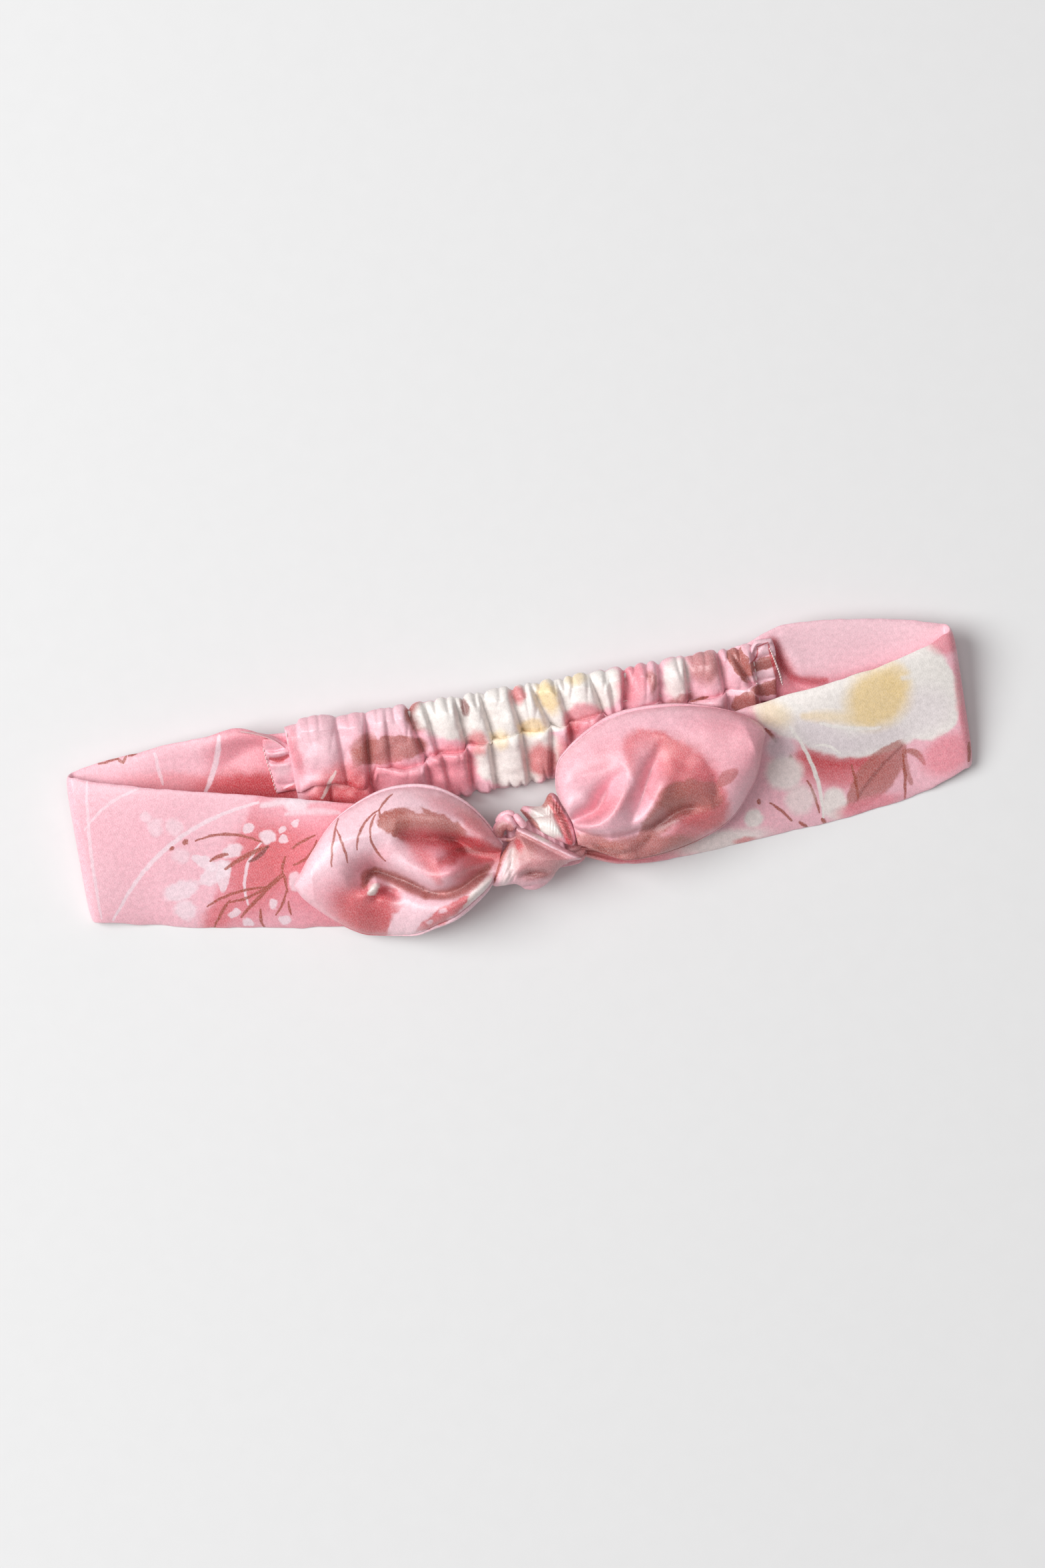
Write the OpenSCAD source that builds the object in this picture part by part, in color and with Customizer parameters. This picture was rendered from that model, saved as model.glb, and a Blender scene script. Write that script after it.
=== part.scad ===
// Satin bow headband lying flat. The loop is folded back at both ends: the wide front
// band slopes up from the near edge, and the elastic back lies behind it in a gathered
// casing. A tie with leaf-shaped ends is knotted round the middle of the front band.
// Millimetres. +X runs along the loop, +Y from the bow to the elastic back, +Z up.

/* [Loop] */
// Length of the flattened loop, from fold to fold
loop_len = 245; // [236:1:250]
// Width of the front band at the folds, seen from above
band_w = 40; // [38:1:42]
// How far the front band bows away from the elastic back
front_bow = 13; // [10:1:14]
// Height of the front band's rear edge above the table
front_rise = 12; // [11:0.5:13]
// Thickness of the flattened double-layer band
band_t = 2.6; // [2:0.2:3]

/* [Elastic back] */
// Length of the gathered casing, from join seam to join seam
casing_len = 127; // [120:1:130]
// Width of the casing across its slope
casing_w = 28; // [26:0.5:28.5]
// Thickness of the casing with its gathers pressed flat
casing_t = 4.4; // [4:0.1:4.8]
// Thickness of one layer of satin
satin_t = 0.7; // [0.5:0.1:0.9]
// Slope of the casing above the table, in degrees
casing_tilt = 24; // [20:1:26]
// Width of the woven elastic
elastic_w = 25; // [20:1:25]
// Thickness of the woven elastic
elastic_t = 1.4; // [1:0.1:1.8]

/* [Bow] */
// Length of each ear of the tie, from knot to tip
ear_len = 57; // [48:1:58]
// Width of the ear on its rear side
ear_rear_w = 22; // [18:1:23]
// Width of the ear on its near side
ear_near_w = 15.2; // [12:0.2:16]
// Height of the ear's puffed face
ear_puff = 7.5; // [5:0.5:8]
// Length along the band that the knot takes up
knot_len = 21; // [18:1:22]

/* [Hidden] */

gap = 0.3;                      // between parts that move past each other
tiny = 0.1;                     // between parts that lie on each other
cross_steps = 8;                // points across a strip
run_steps = 14;                 // stations along a strip
turn_steps = 8;                 // stations round a fold

edge_z = 0.2;                   // the band's near edges all but touch the table
fold_x = loop_len / 2;
fold_r = 1.7;                   // from the fold's middle to a layer's middle
fold_rear_y = 25.5;             // rear end of the fold line
fold_near_y = fold_rear_y - band_w;
panel_end_x = fold_x - 6;       // where the front panel meets the folded end

casing_mid_x = 3.5;             // the casing sits a little to the right
casing_near_y = 2.6;
casing_near_z = 0.9;            // low enough to give the casing a flat foot at z = 0
seam_left = casing_mid_x - casing_len / 2;
seam_right = casing_mid_x + casing_len / 2;
casing_rear_y = casing_near_y + casing_w * cos(casing_tilt);

knot_x = 1;
knot_y = -16.5;
knot_z = 8.6;
gather_half_w = 6;
gather_t = 6.4;
loop_t = 2.2;                   // thickness of the tie where it passes round the band
knot_from = knot_x - knot_len / 2;
knot_to = knot_x + knot_len / 2;
pinch_x = 42;                   // where the front band starts to gather
thread_r = 0.25;

satin_pink = [0.93, 0.62, 0.68];
satin_light = [0.96, 0.76, 0.80];
satin_brown = [0.76, 0.47, 0.43];
satin_cream = [0.94, 0.92, 0.88];
elastic_white = [0.95, 0.95, 0.93];
thread_cream = [0.90, 0.84, 0.82];

function mix(a, b, t) = a + (b - a) * t;
function smooth(t) = let (c = min(1, max(0, t))) c * c * (3 - 2 * c);
function pinch(x) = smooth((pinch_x - abs(x)) / (pinch_x - knot_len / 2));

// Front band: its near and rear edges, thickness and arch at a place along X.
function front_a(x) = min(1, abs(x) / fold_x);
function front_near_y(x) = mix(fold_near_y - front_bow * (1 - pow(front_a(x), 2)),
                               knot_y - gather_half_w, pinch(x));
function front_rear_y(x) = mix(fold_rear_y - 28 * (1 - pow(front_a(x), 1.6)),
                               knot_y + gather_half_w, pinch(x));
function front_near_z(x) = mix(mix(edge_z, edge_z + 2 * fold_r, smooth((front_a(x) - 0.84) / 0.16)),
                               knot_z, pinch(x));
function front_rear_z(x) = mix(front_rise + 2.5 * sin(180 * pow(front_a(x), 2)),
                               knot_z, pinch(x));
function front_t(x) = mix(band_t, gather_t, pinch(x));
function front_arch(x) = mix(1.6 * sin(180 * front_a(x)), 0, pinch(x));

// Returning ends of the band, from the fold to the join seam, at share s of the way.
function return_rear_y(s) = mix(fold_rear_y, casing_rear_y, s) + 3.4 * sin(150 * s);
function return_near_y(s) = mix(fold_near_y, casing_near_y, smooth(s));
function return_rear_z(s) = mix(front_rise - 2 * fold_r,
                                edge_z + casing_w * sin(casing_tilt), smooth(s));

// A flat oval section: a line of centres with half the thickness on each side along n.
function half_t(u, t) = t / 2 * sqrt(1 - pow(2 * u - 1, 4));
function section(centres, n, t) = let (m = len(centres) - 1) concat(
    [for (j = [0:m]) centres[j] + n * half_t(j / m, t)],
    [for (j = [m - 1:-1:1]) centres[j] - n * half_t(j / m, t)]);
function across(x, near, rear, arch = 0) = [for (j = [0:cross_steps])
    let (u = j / cross_steps)
    [x, mix(near[0], rear[0], u), mix(near[1], rear[1], u) + arch * 4 * u * (1 - u)]];

// Skin over a list of sections that all have the same number of points.
module loft(sections) {
    k = len(sections[0]);
    last = len(sections) - 1;
    sides = [for (i = [0:last - 1], j = [0:k - 1]) each let (
        a = i * k + j, b = i * k + (j + 1) % k, c = a + k, d = b + k)
        [[a, b, d], [a, d, c]]];
    start_cap = [[for (j = [k - 1:-1:0]) j]];
    end_cap = [[for (j = [0:k - 1]) last * k + j]];
    polyhedron(points = [for (s = sections) each s],
               faces = concat(sides, start_cap, end_cap));
}

function front_section(x) = section(
    across(x, [front_near_y(x), front_near_z(x)], [front_rear_y(x), front_rear_z(x)],
           front_arch(x)), [0, 0, 1], front_t(x));

// Side is -1 for the left end of the loop and 1 for the right one.
module folded_end(side, seam_x) {
    length = fold_x - fold_r - abs(seam_x);
    low_z = edge_z;
    high_z = return_rear_z(0);
    start = [for (x = [panel_end_x, fold_x - 4]) front_section(x)];
    turn = [for (i = [0:turn_steps - 1]) let (
        a = 180 * i / turn_steps,
        x = fold_x - fold_r + (fold_r - band_t / 2) * sin(a),
        down = fold_r * (1 + cos(a)))
        section(across(x, [fold_near_y, low_z + down], [fold_rear_y, high_z + down]),
                [sin(a), 0, cos(a)], band_t)];
    run = [for (i = [0:run_steps]) let (
        s = i / run_steps,
        x = abs(seam_x) + length * (1 - s))
        section(across(x, [return_near_y(s), edge_z],
                       [return_rear_y(s), return_rear_z(s)]), [0, 0, -1], band_t)];
    mirror([side < 0 ? 1 : 0, 0, 0]) loft(concat(start, turn, run));
}

module front_panel(side) {
    from = side < 0 ? -knot_from : knot_to;
    to = panel_end_x - gap;
    mirror([side < 0 ? 1 : 0, 0, 0])
        loft([for (i = [0:run_steps]) front_section(mix(from, to, i / run_steps))]);
}

// Local frame of the casing: X along it, Y up its slope, Z out of its inner face.
module on_casing() {
    translate([0, casing_near_y, casing_near_z]) rotate([casing_tilt, 0, 0]) children();
}

module oval_bar(width, thick, from, to) {
    r = thick / 2;
    translate([from, 0, 0]) rotate([90, 0, 90]) linear_extrude(to - from) union() {
        translate([r, -r]) square([width - thick, thick]);
        for (y = [r, width - r]) translate([y, 0]) circle(r, $fn = 32);
    }
}

module elastic_strip() {
    color(elastic_white) on_casing()
        translate([seam_left, (casing_w - elastic_w) / 2, -elastic_t / 2])
            cube([casing_len, elastic_w, elastic_t]);
}

module elastic_casing() {
    room_w = elastic_w + 0.4;
    room_t = elastic_t + 0.4;
    color(satin_light) intersection() {
        on_casing() difference() {
            oval_bar(casing_w, casing_t, seam_left, seam_right);
            translate([seam_left - 1, (casing_w - room_w) / 2, -room_t / 2])
                cube([casing_len + 2, room_w, room_t]);
        }
        translate([-fold_x, -100, 0]) cube([loop_len, 200, 100]);
    }
}

// The seam that closes the casing's tube, along its inner face.
module casing_seam() {
    color(thread_cream) on_casing()
        translate([seam_left, casing_w * 0.48, casing_t / 2 + thread_r + tiny])
            rotate([0, 90, 0]) cylinder(h = casing_len, r = thread_r, $fn = 16);
}

module join_allowance(side) {
    x = side < 0 ? seam_left - 7 : seam_right + tiny;
    low = side < 0 ? 8.5 : 11.5;
    color(satin_pink) on_casing()
        translate([x, low, band_t / 2 + 0.6]) cube([7 - tiny, 16, 2 * satin_t]);
}

module join_stitches(side) {
    x = side < 0 ? seam_left - 1.2 : seam_right + 1.2;
    low = side < 0 ? 9.5 : 12.5;
    above = band_t / 2 + 0.6 + 2 * satin_t + thread_r + tiny;
    color(thread_cream) on_casing() for (i = [0:4])
        translate([x, low + 3 * i, above]) rotate([-90, 0, 0])
            cylinder(h = 2.1, r = thread_r, $fn = 16);
}

module band_gather() {
    color(satin_pink) loft([for (i = [0:4])
        front_section(mix(knot_from + gap, knot_to - gap, i / 4))]);
}

// One turn of the tie round the gathered band.
module knot_loop() {
    width = 13;
    color(satin_brown) translate([knot_x - width / 2, knot_y, knot_z])
        rotate([90, 0, 90]) linear_extrude(width) difference() {
            flat_oval(gather_half_w + 0.4 + loop_t, gather_t + 0.8 + 2 * loop_t);
            flat_oval(gather_half_w + 0.4, gather_t + 0.8);
        }
}

module flat_oval(half_w, t) {
    steps = 2 * cross_steps;
    outline = section([for (j = [0:steps]) [half_w * (2 * j / steps - 1), 0]], [0, 1], t);
    polygon(outline);
}

// A bulging pad of cloth: an ellipse in plan, round on top and flat below.
module cloth_pad(centre, size, turn) {
    rings = 5;
    around = 20;
    top = 84;
    translate(centre) rotate([0, 0, turn]) loft([for (i = [0:rings]) let (
        a = top * i / rings)
        [for (j = [0:around - 1]) let (b = -360 * j / around)
            [size[0] * cos(a) * cos(b), size[1] * cos(a) * sin(b), size[2] * sin(a)]]]);
}

pad_z = knot_z + gather_t / 2 + 0.4 + loop_t + tiny;

module knot_front_wrap() {
    color(satin_brown) cloth_pad([-0.8, knot_y - 2.1, pad_z], [8.2, 5.8, 7.2], -38);
}

module knot_side_wrap() {
    color(satin_cream) cloth_pad([5.6, knot_y + 6.6, pad_z], [3.6, 3.2, 4.6], 0);
}

module knot_tuck() {
    color(satin_light) cloth_pad([-4.2, knot_y + 7.2, pad_z], [2.7, 1.9, 3.4], 20);
}

// Ears: a leaf outline in plan, measured along the ear's own axis from the knot.
function leaf(t, early) = pow(max(0, sin(180 * pow(t, early))), 0.78);
function ear_floor(x, y) = mix(min(14.6, 5.6 + 0.40 * (y + 27)), 14.4,
                               smooth((48 - x) / 26));

// Rear and near say how far the leaf reaches on each side of its axis, low how high its
// underside lies above the band, and puff how thick it is.
module ear_layer(root, turn, rear, near, low, puff) {
    stations = 14;
    function place(t, w) = let (d = ear_len * t)
        [root[0] + d * cos(turn) - w * sin(turn), root[1] + d * sin(turn) + w * cos(turn)];
    function point(t, v, up) = let (
        p = place(t, mix(-near * leaf(t, 0.95), rear * leaf(t, 0.75), v)))
        [p[0], p[1], ear_floor(p[0], p[1]) + low + up];
    loft([for (i = [0:stations]) let (
        t = mix(0.03, 0.985, i / stations),
        full = puff * leaf(t, 1.15))
        concat(
            [for (j = [0:cross_steps]) let (v = j / cross_steps)
                point(t, v, ear_edge_t + full * sqrt(max(0, 1 - pow(2 * v - 1, 2))))],
            [for (j = [cross_steps:-1:0]) point(t, j / cross_steps, 0)])]);
}

ear_edge_t = 0.5;
ear_back_puff = 0.4;
ear_face_low = ear_edge_t + ear_back_puff + gap;

module ear_left(low, puff) {
    mirror([1, 0, 0])
        ear_layer([gap - knot_from, -16], 1, ear_rear_w + 1, ear_near_w, low, puff);
}

module ear_right(low, puff) {
    ear_layer([knot_to + gap, -10], 14, ear_rear_w - 2, ear_near_w + 2, low, puff);
}

module ear_left_face() {
    color(satin_pink) ear_left(ear_face_low, ear_puff);
}

module ear_left_back() {
    color(satin_light) ear_left(0, ear_back_puff);
}

module ear_right_face() {
    color(satin_pink) ear_right(ear_face_low, ear_puff);
}

module ear_right_back() {
    color(satin_light) ear_right(0, ear_back_puff);
}

module left_folded_end() {
    color(satin_pink) folded_end(-1, seam_left);
}

module right_folded_end() {
    color(satin_pink) folded_end(1, seam_right);
}

module front_left_panel() {
    color(satin_light) front_panel(-1);
}

module front_right_panel() {
    color(satin_light) front_panel(1);
}

module left_join_allowance() {
    join_allowance(-1);
}

module right_join_allowance() {
    join_allowance(1);
}

module left_join_stitches() {
    join_stitches(-1);
}

module right_join_stitches() {
    join_stitches(1);
}

elastic_strip();
elastic_casing();
casing_seam();
left_folded_end();
right_folded_end();
left_join_allowance();
right_join_allowance();
left_join_stitches();
right_join_stitches();
front_left_panel();
front_right_panel();
band_gather();
knot_loop();
knot_front_wrap();
knot_side_wrap();
knot_tuck();
ear_left_face();
ear_left_back();
ear_right_face();
ear_right_back();
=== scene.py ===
"""Looks of a printed satin bow headband that lies flat on a pale table.

Shapes are worked out in millimetres in the part's own frame, X along the loop, Y from the
bow to the elastic back and Z up, and become meshes in metres. Each cloth piece has a UV map
in hundreds of millimetres of cloth, and its print, with the shade and highlights painted
into it, follows that map when the cloth bends.
"""
import math

import bmesh
import bpy
import numpy as np
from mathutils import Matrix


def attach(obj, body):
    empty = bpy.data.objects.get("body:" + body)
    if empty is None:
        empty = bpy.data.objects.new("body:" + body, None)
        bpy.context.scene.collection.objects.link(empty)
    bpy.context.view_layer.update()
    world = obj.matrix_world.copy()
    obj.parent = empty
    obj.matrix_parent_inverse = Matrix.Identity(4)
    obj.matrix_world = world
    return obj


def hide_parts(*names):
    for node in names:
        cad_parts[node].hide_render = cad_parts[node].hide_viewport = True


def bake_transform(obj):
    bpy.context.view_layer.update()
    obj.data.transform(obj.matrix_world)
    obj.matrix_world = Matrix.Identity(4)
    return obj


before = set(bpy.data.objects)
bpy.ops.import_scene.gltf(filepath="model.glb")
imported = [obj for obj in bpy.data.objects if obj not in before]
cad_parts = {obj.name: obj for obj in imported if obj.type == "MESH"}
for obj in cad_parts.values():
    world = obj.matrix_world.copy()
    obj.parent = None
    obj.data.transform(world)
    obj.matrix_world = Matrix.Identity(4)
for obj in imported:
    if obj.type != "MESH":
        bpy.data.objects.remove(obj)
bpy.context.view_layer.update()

MM = 0.001
# Millimetres of cloth in one unit of the UV map, and how far along the cloth the print and the
# painted shade of the return runs' inner faces lie.
UV_SCALE = 100.0
RETURN_SHIFT = 200

# ---------------------------------------------------------------- shape helpers


def mix(a, b, t):
    return a + (b - a) * t


def smooth(t):
    t = np.clip(t, 0, 1)
    return t * t * (3 - 2 * t)


def bell(d, width):
    return np.exp(-(d / width) ** 2)


def bulge(t, power):
    """1 at t = 0 and 0 at t = -1 and 1, with a flatter top for a higher power."""
    return np.sqrt(np.clip(1 - np.abs(t) ** power, 0, 1))


def stacked(*parts):
    """One array with the parts along a new last axis, each spread to the shape of them all."""
    return np.stack(np.broadcast_arrays(*parts), -1)


def spline(points, count):
    """A smooth curve through the points, sampled at equal steps of its length."""
    p = np.array(points, float)
    ends = np.vstack([2 * p[0] - p[1], p, 2 * p[-1] - p[-2]])
    t = np.linspace(0, 1, 24, endpoint=False)[:, None]
    fine = [0.5 * (2 * b + (c - a) * t + (2 * a - 5 * b + 4 * c - d) * t ** 2
                   + (3 * b - a - 3 * c + d) * t ** 3)
            for a, b, c, d in zip(ends, ends[1:], ends[2:], ends[3:])]
    fine = np.vstack(fine + [p[-1:]])
    steps = np.linalg.norm(np.diff(fine, axis=0), axis=1)
    length = np.concatenate([[0], np.cumsum(steps)])
    at = np.linspace(0, length[-1], count)
    return np.column_stack([np.interp(at, length, fine[:, k]) for k in range(p.shape[1])])


def line_at(points, x):
    """The y at each x of straight lines from point to point."""
    p = np.array(points, float)
    return np.interp(x, p[:, 0], p[:, 1])


def ripple(x, y, size, seed):
    """A smooth random field from -1 to 1, with features of about the given size."""
    cells = np.random.default_rng(seed).uniform(-1, 1, (64, 64))
    gx, gy = np.asarray(x) / size, np.asarray(y) / size
    i, j = np.floor(gx).astype(int), np.floor(gy).astype(int)
    u, v = smooth(gx - i), smooth(gy - j)
    corner = [[cells[(i + a) % 64, (j + b) % 64] for b in (0, 1)] for a in (0, 1)]
    return mix(mix(corner[0][0], corner[1][0], u), mix(corner[0][1], corner[1][1], u), v)


def along(x, y, path):
    """Distance of each point from a path of (x, y, strength) points, and the strength there."""
    line = spline(path, 70)
    away = np.hypot(x[..., None] - line[:, 0], y[..., None] - line[:, 1])
    nearest = away.argmin(-1)
    return away.min(-1), np.clip(line[nearest, 2], 0, 1)


def valley(x, y, path, depth, width):
    """A crease in cloth: sharp at its bottom, with shoulders of about the given width."""
    away, strength = along(x, y, path)
    return -depth * strength * np.exp(-(away / width) ** 1.35)


def ridge(x, y, path, height, width):
    away, strength = along(x, y, path)
    return height * strength * bell(away, width)


def relief_of(x, y, folds):
    """Height added by folds: each is ridge or valley, its path, its height or depth, its width."""
    return sum(kind(x, y, path, size, width) for kind, path, size, width in folds)


def rounded(count):
    """Steps from 0 to 1 that crowd together at both ends, for a rounded edge."""
    return (1 - np.cos(np.linspace(0, math.pi, count))) / 2


def grid_normals(points):
    """Unit normals of a grid of points, positive along (down the rows) x (across them)."""
    n = np.cross(np.gradient(points, axis=0), np.gradient(points, axis=1))
    return n / np.maximum(np.linalg.norm(n, axis=2, keepdims=True), 1e-9)


# ---------------------------------------------------------------- mesh helpers


def sew_ends_shut(bm):
    """Close each open end with a face that takes the cloth coordinates of its rim."""
    layer = bm.loops.layers.uv.active
    rims = [edge for edge in bm.edges if edge.is_boundary]
    for face in bmesh.ops.holes_fill(bm, edges=rims, sides=0)["faces"]:
        for loop in face.loops:
            beside = next(other for other in loop.vert.link_loops if other.face is not face)
            loop[layer].uv = beside[layer].uv


def mesh_from_grids(name, grids, material):
    """One closed mesh from grids of (points in mm, uv in mm), joined where their edges meet."""
    vertices, faces, uvs = [], [], []
    for points, uv in grids:
        rows, columns = points.shape[:2]
        first = len(vertices)
        vertices.extend((points.reshape(-1, 3) * MM).tolist())
        flat_uv = (uv.reshape(-1, 2) / UV_SCALE).tolist()
        for i in range(rows - 1):
            for j in range(columns - 1):
                k = i * columns + j
                corners = (k, k + columns, k + columns + 1, k + 1)
                faces.append([first + c for c in corners])
                uvs.extend(flat_uv[c] for c in corners)
    mesh = bpy.data.meshes.new(name)
    mesh.from_pydata(vertices, [], faces)
    layer = mesh.uv_layers.new(name="Cloth")
    layer.data.foreach_set("uv", np.array(uvs, np.float32).ravel())
    bm = bmesh.new()
    bm.from_mesh(mesh)
    bmesh.ops.remove_doubles(bm, verts=bm.verts, dist=2e-6)
    bmesh.ops.dissolve_degenerate(bm, edges=bm.edges, dist=1e-7)
    sew_ends_shut(bm)
    bmesh.ops.recalc_face_normals(bm, faces=bm.faces)
    bm.to_mesh(mesh)
    bm.free()
    mesh.polygons.foreach_set("use_smooth", [True] * len(mesh.polygons))
    mesh.materials.append(material)
    obj = bpy.data.objects.new(name, mesh)
    bpy.context.scene.collection.objects.link(obj)
    return obj


def paint_return(obj, material):
    """Give the return run's inner face, which lies RETURN_SHIFT along the cloth, its own print and painted
    shade.
    """
    obj.data.materials.append(material)
    places = obj.data.uv_layers["Cloth"].data
    for face in obj.data.polygons:
        if places[face.loop_start].uv.y * UV_SCALE > RETURN_SHIFT / 2:
            face.material_index = 1


def plan_uv(points, shift=(0, 0)):
    """Cloth coordinates of a piece that lies nearly flat: its own plan."""
    return points[..., :2] + np.array(shift, float)


# ---------------------------------------------------------------- materials


def srgb(r, g, b):
    """Linear colour of an sRGB colour given as 0 to 255."""
    part = [c / 255 for c in (r, g, b)]
    return [c / 12.92 if c <= 0.04045 else ((c + 0.055) / 1.055) ** 2.4 for c in part] + [1]


PINK = srgb(246, 178, 192)
PALE = srgb(250, 206, 216)
ROSE = srgb(234, 132, 146)
SALMON = srgb(220, 96, 102)
CRIMSON = srgb(200, 56, 64)
BROWN = srgb(180, 96, 86)
UMBER = srgb(132, 54, 48)
TWIG = srgb(166, 70, 48)
CREAM = srgb(244, 238, 232)
PETAL = srgb(246, 222, 230)
GREY = srgb(222, 208, 214)
YELLOW = srgb(246, 214, 150)
FLECK = srgb(255, 244, 246)
SHEEN = srgb(255, 226, 232)


class Nodes:
    """Short calls that add nodes to one tree and join them up."""

    def __init__(self, tree):
        self.tree = tree

    def put(self, socket, value):
        """Give a socket a value, or join another node's output to it."""
        if isinstance(value, bpy.types.NodeSocket):
            self.tree.links.new(value, socket)
        else:
            socket.default_value = value

    def add(self, kind, inputs=(), **settings):
        node = self.tree.nodes.new(kind)
        for key, value in settings.items():
            setattr(node, key, value)
        for socket, value in dict(inputs).items():
            self.put(node.inputs[socket], value)
        return node

    def maths(self, operation, *values):
        return self.add("ShaderNodeMath", enumerate(values), operation=operation).outputs[0]

    def vectors(self, operation, *values, output="Vector"):
        node = self.add("ShaderNodeVectorMath", enumerate(values), operation=operation)
        return node.outputs[output]

    def measure(self, operation, *values):
        """A number worked out from vectors."""
        return self.vectors(operation, *values, output="Value")

    def scaled(self, vector, *factors):
        """The vector times one number, or times the product of two."""
        node = self.add("ShaderNodeVectorMath", {0: vector}, operation="SCALE")
        self.put(node.inputs["Scale"], factors[0] if len(factors) == 1 else self.maths("MULTIPLY", *factors))
        return node.outputs["Vector"]

    def rotated(self, vector, angle):
        return self.add("ShaderNodeVectorRotate", {"Vector": vector, "Angle": angle},
                        rotation_type="Z_AXIS").outputs["Vector"]

    def noise(self, place, scale, detail, output="Fac", roughness=0.5, dimensions="2D"):
        inputs = {"Vector": place, "Scale": scale, "Detail": detail, "Roughness": roughness}
        return self.add("ShaderNodeTexNoise", inputs, noise_dimensions=dimensions).outputs[output]

    def ranged(self, value, low, high, to_low, to_high, steps="LINEAR"):
        """The value carried from the range low..high to the range to_low..to_high."""
        inputs = {"Value": value, "From Min": low, "From Max": high, "To Min": to_low, "To Max": to_high}
        return self.add("ShaderNodeMapRange", inputs, interpolation_type=steps).outputs["Result"]

    def mixed(self, amount, first, second):
        return self.add("ShaderNodeMix", {0: amount, 6: first, 7: second}, data_type="RGBA").outputs[2]

    def bump(self, height, strength, distance):
        inputs = {"Height": height, "Strength": strength, "Distance": distance}
        return self.add("ShaderNodeBump", inputs).outputs["Normal"]


def shape_group(name, sockets, mask):
    """A node group that gives one painted shape's mask at a place on the cloth."""
    group = bpy.data.node_groups.new(name, "ShaderNodeTree")
    group.interface.new_socket("Place", in_out="INPUT", socket_type="NodeSocketVector")
    for socket in sockets:
        kind = "Float" if socket in ("Turn", "Soft", "Bend", "Width") else "Vector"
        group.interface.new_socket(socket, in_out="INPUT", socket_type="NodeSocket" + kind)
    group.interface.new_socket("Mask", in_out="OUTPUT", socket_type="NodeSocketFloat")
    given = group.nodes.new("NodeGroupInput").outputs
    out = group.nodes.new("NodeGroupOutput").inputs
    n = Nodes(group)
    n.put(out["Mask"], mask(n, given))
    return group


def soft_edge(n, value, soft):
    """1 well inside value = 1, 0 well outside it."""
    low, high = n.maths("SUBTRACT", 1.0, soft), n.maths("ADD", 1.0, soft)
    return n.ranged(value, low, high, 1.0, 0.0, "SMOOTHSTEP")


def local_place(n, given):
    """The place seen from a shape's centre, along its own axes and in its own radii."""
    offset = n.vectors("SUBTRACT", given["Place"], given["Centre"])
    turned = n.rotated(offset, n.maths("MULTIPLY", given["Turn"], -1.0))
    return n.vectors("DIVIDE", turned, given["Radii"])


def blob_mask(n, given):
    return soft_edge(n, n.measure("LENGTH", local_place(n, given)), given["Soft"])


def leaf_mask(n, given):
    """A shape with pointed ends: its half width falls as one minus the square of the length."""
    split = n.add("ShaderNodeSeparateXYZ", {"Vector": local_place(n, given)}).outputs
    width = n.maths("MAXIMUM", n.maths("SUBTRACT", 1.0, n.maths("MULTIPLY", split["X"], split["X"])), 0.02)
    reach = n.maths("MAXIMUM", n.maths("DIVIDE", n.maths("ABSOLUTE", split["Y"]), width),
                    n.maths("MULTIPLY", 1.15, n.maths("ABSOLUTE", split["X"])))
    return soft_edge(n, reach, given["Soft"])


def stroke_mask(n, given):
    """A bent brush stroke from one point to another, thinner at its ends."""
    run = n.vectors("SUBTRACT", given["To"], given["From"])
    offset = n.vectors("SUBTRACT", given["Place"], given["From"])
    share = n.maths("DIVIDE", n.measure("DOT_PRODUCT", offset, run), n.measure("DOT_PRODUCT", run, run))
    share = n.add("ShaderNodeClamp", {"Value": share}).outputs[0]
    hump = n.maths("MULTIPLY", 4.0, n.maths("MULTIPLY", share, n.maths("SUBTRACT", 1.0, share)))
    across = n.vectors("NORMALIZE", n.vectors("CROSS_PRODUCT", (0, 0, 1), run))
    bow = n.scaled(across, hump, given["Bend"])
    foot = n.vectors("ADD", n.scaled(run, share), bow)
    away = n.measure("DISTANCE", offset, foot)
    thick = n.maths("MULTIPLY", given["Width"], n.maths("ADD", 0.6, n.maths("MULTIPLY", 0.4, hump)))
    return soft_edge(n, n.maths("DIVIDE", away, thick), given["Soft"])


ROUND_SOCKETS = ["Centre", "Radii", "Turn", "Soft"]
GROUPS = {
    "blob": shape_group("Blob", ROUND_SOCKETS, blob_mask),
    "leaf": shape_group("Leaf", ROUND_SOCKETS, leaf_mask),
    "stroke": shape_group("Stroke", ["From", "To", "Bend", "Width", "Soft"], stroke_mask),
}
NO_LIMIT = 1e6


def blob(centre, radii, colour, turn=0, soft=0.25, strength=1.0, kind="blob"):
    """A painted oval: its centre and half widths in mm of cloth, and its turn in degrees."""
    sockets = {"Centre": (*centre, 0), "Radii": (*radii, NO_LIMIT), "Turn": math.radians(turn), "Soft": soft}
    return kind, sockets, colour, strength


def leaf(centre, radii, colour, turn=0, soft=0.15, strength=1.0):
    return blob(centre, radii, colour, turn, soft, strength, kind="leaf")


def stroke(start, end, colour, bend=0.0, width=0.4, soft=0.45, strength=0.9):
    """A painted line: it bows to its left by bend, and width is half of its thickness, in mm."""
    sockets = {"From": (*start, 0), "To": (*end, 0), "Bend": bend, "Width": width, "Soft": soft}
    return "stroke", sockets, colour, strength


# Millimetres between the ribs of the twill, and the direction that they are counted in.
TWILL = 0.42
TWILL_TURN = math.radians(-58)


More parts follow.
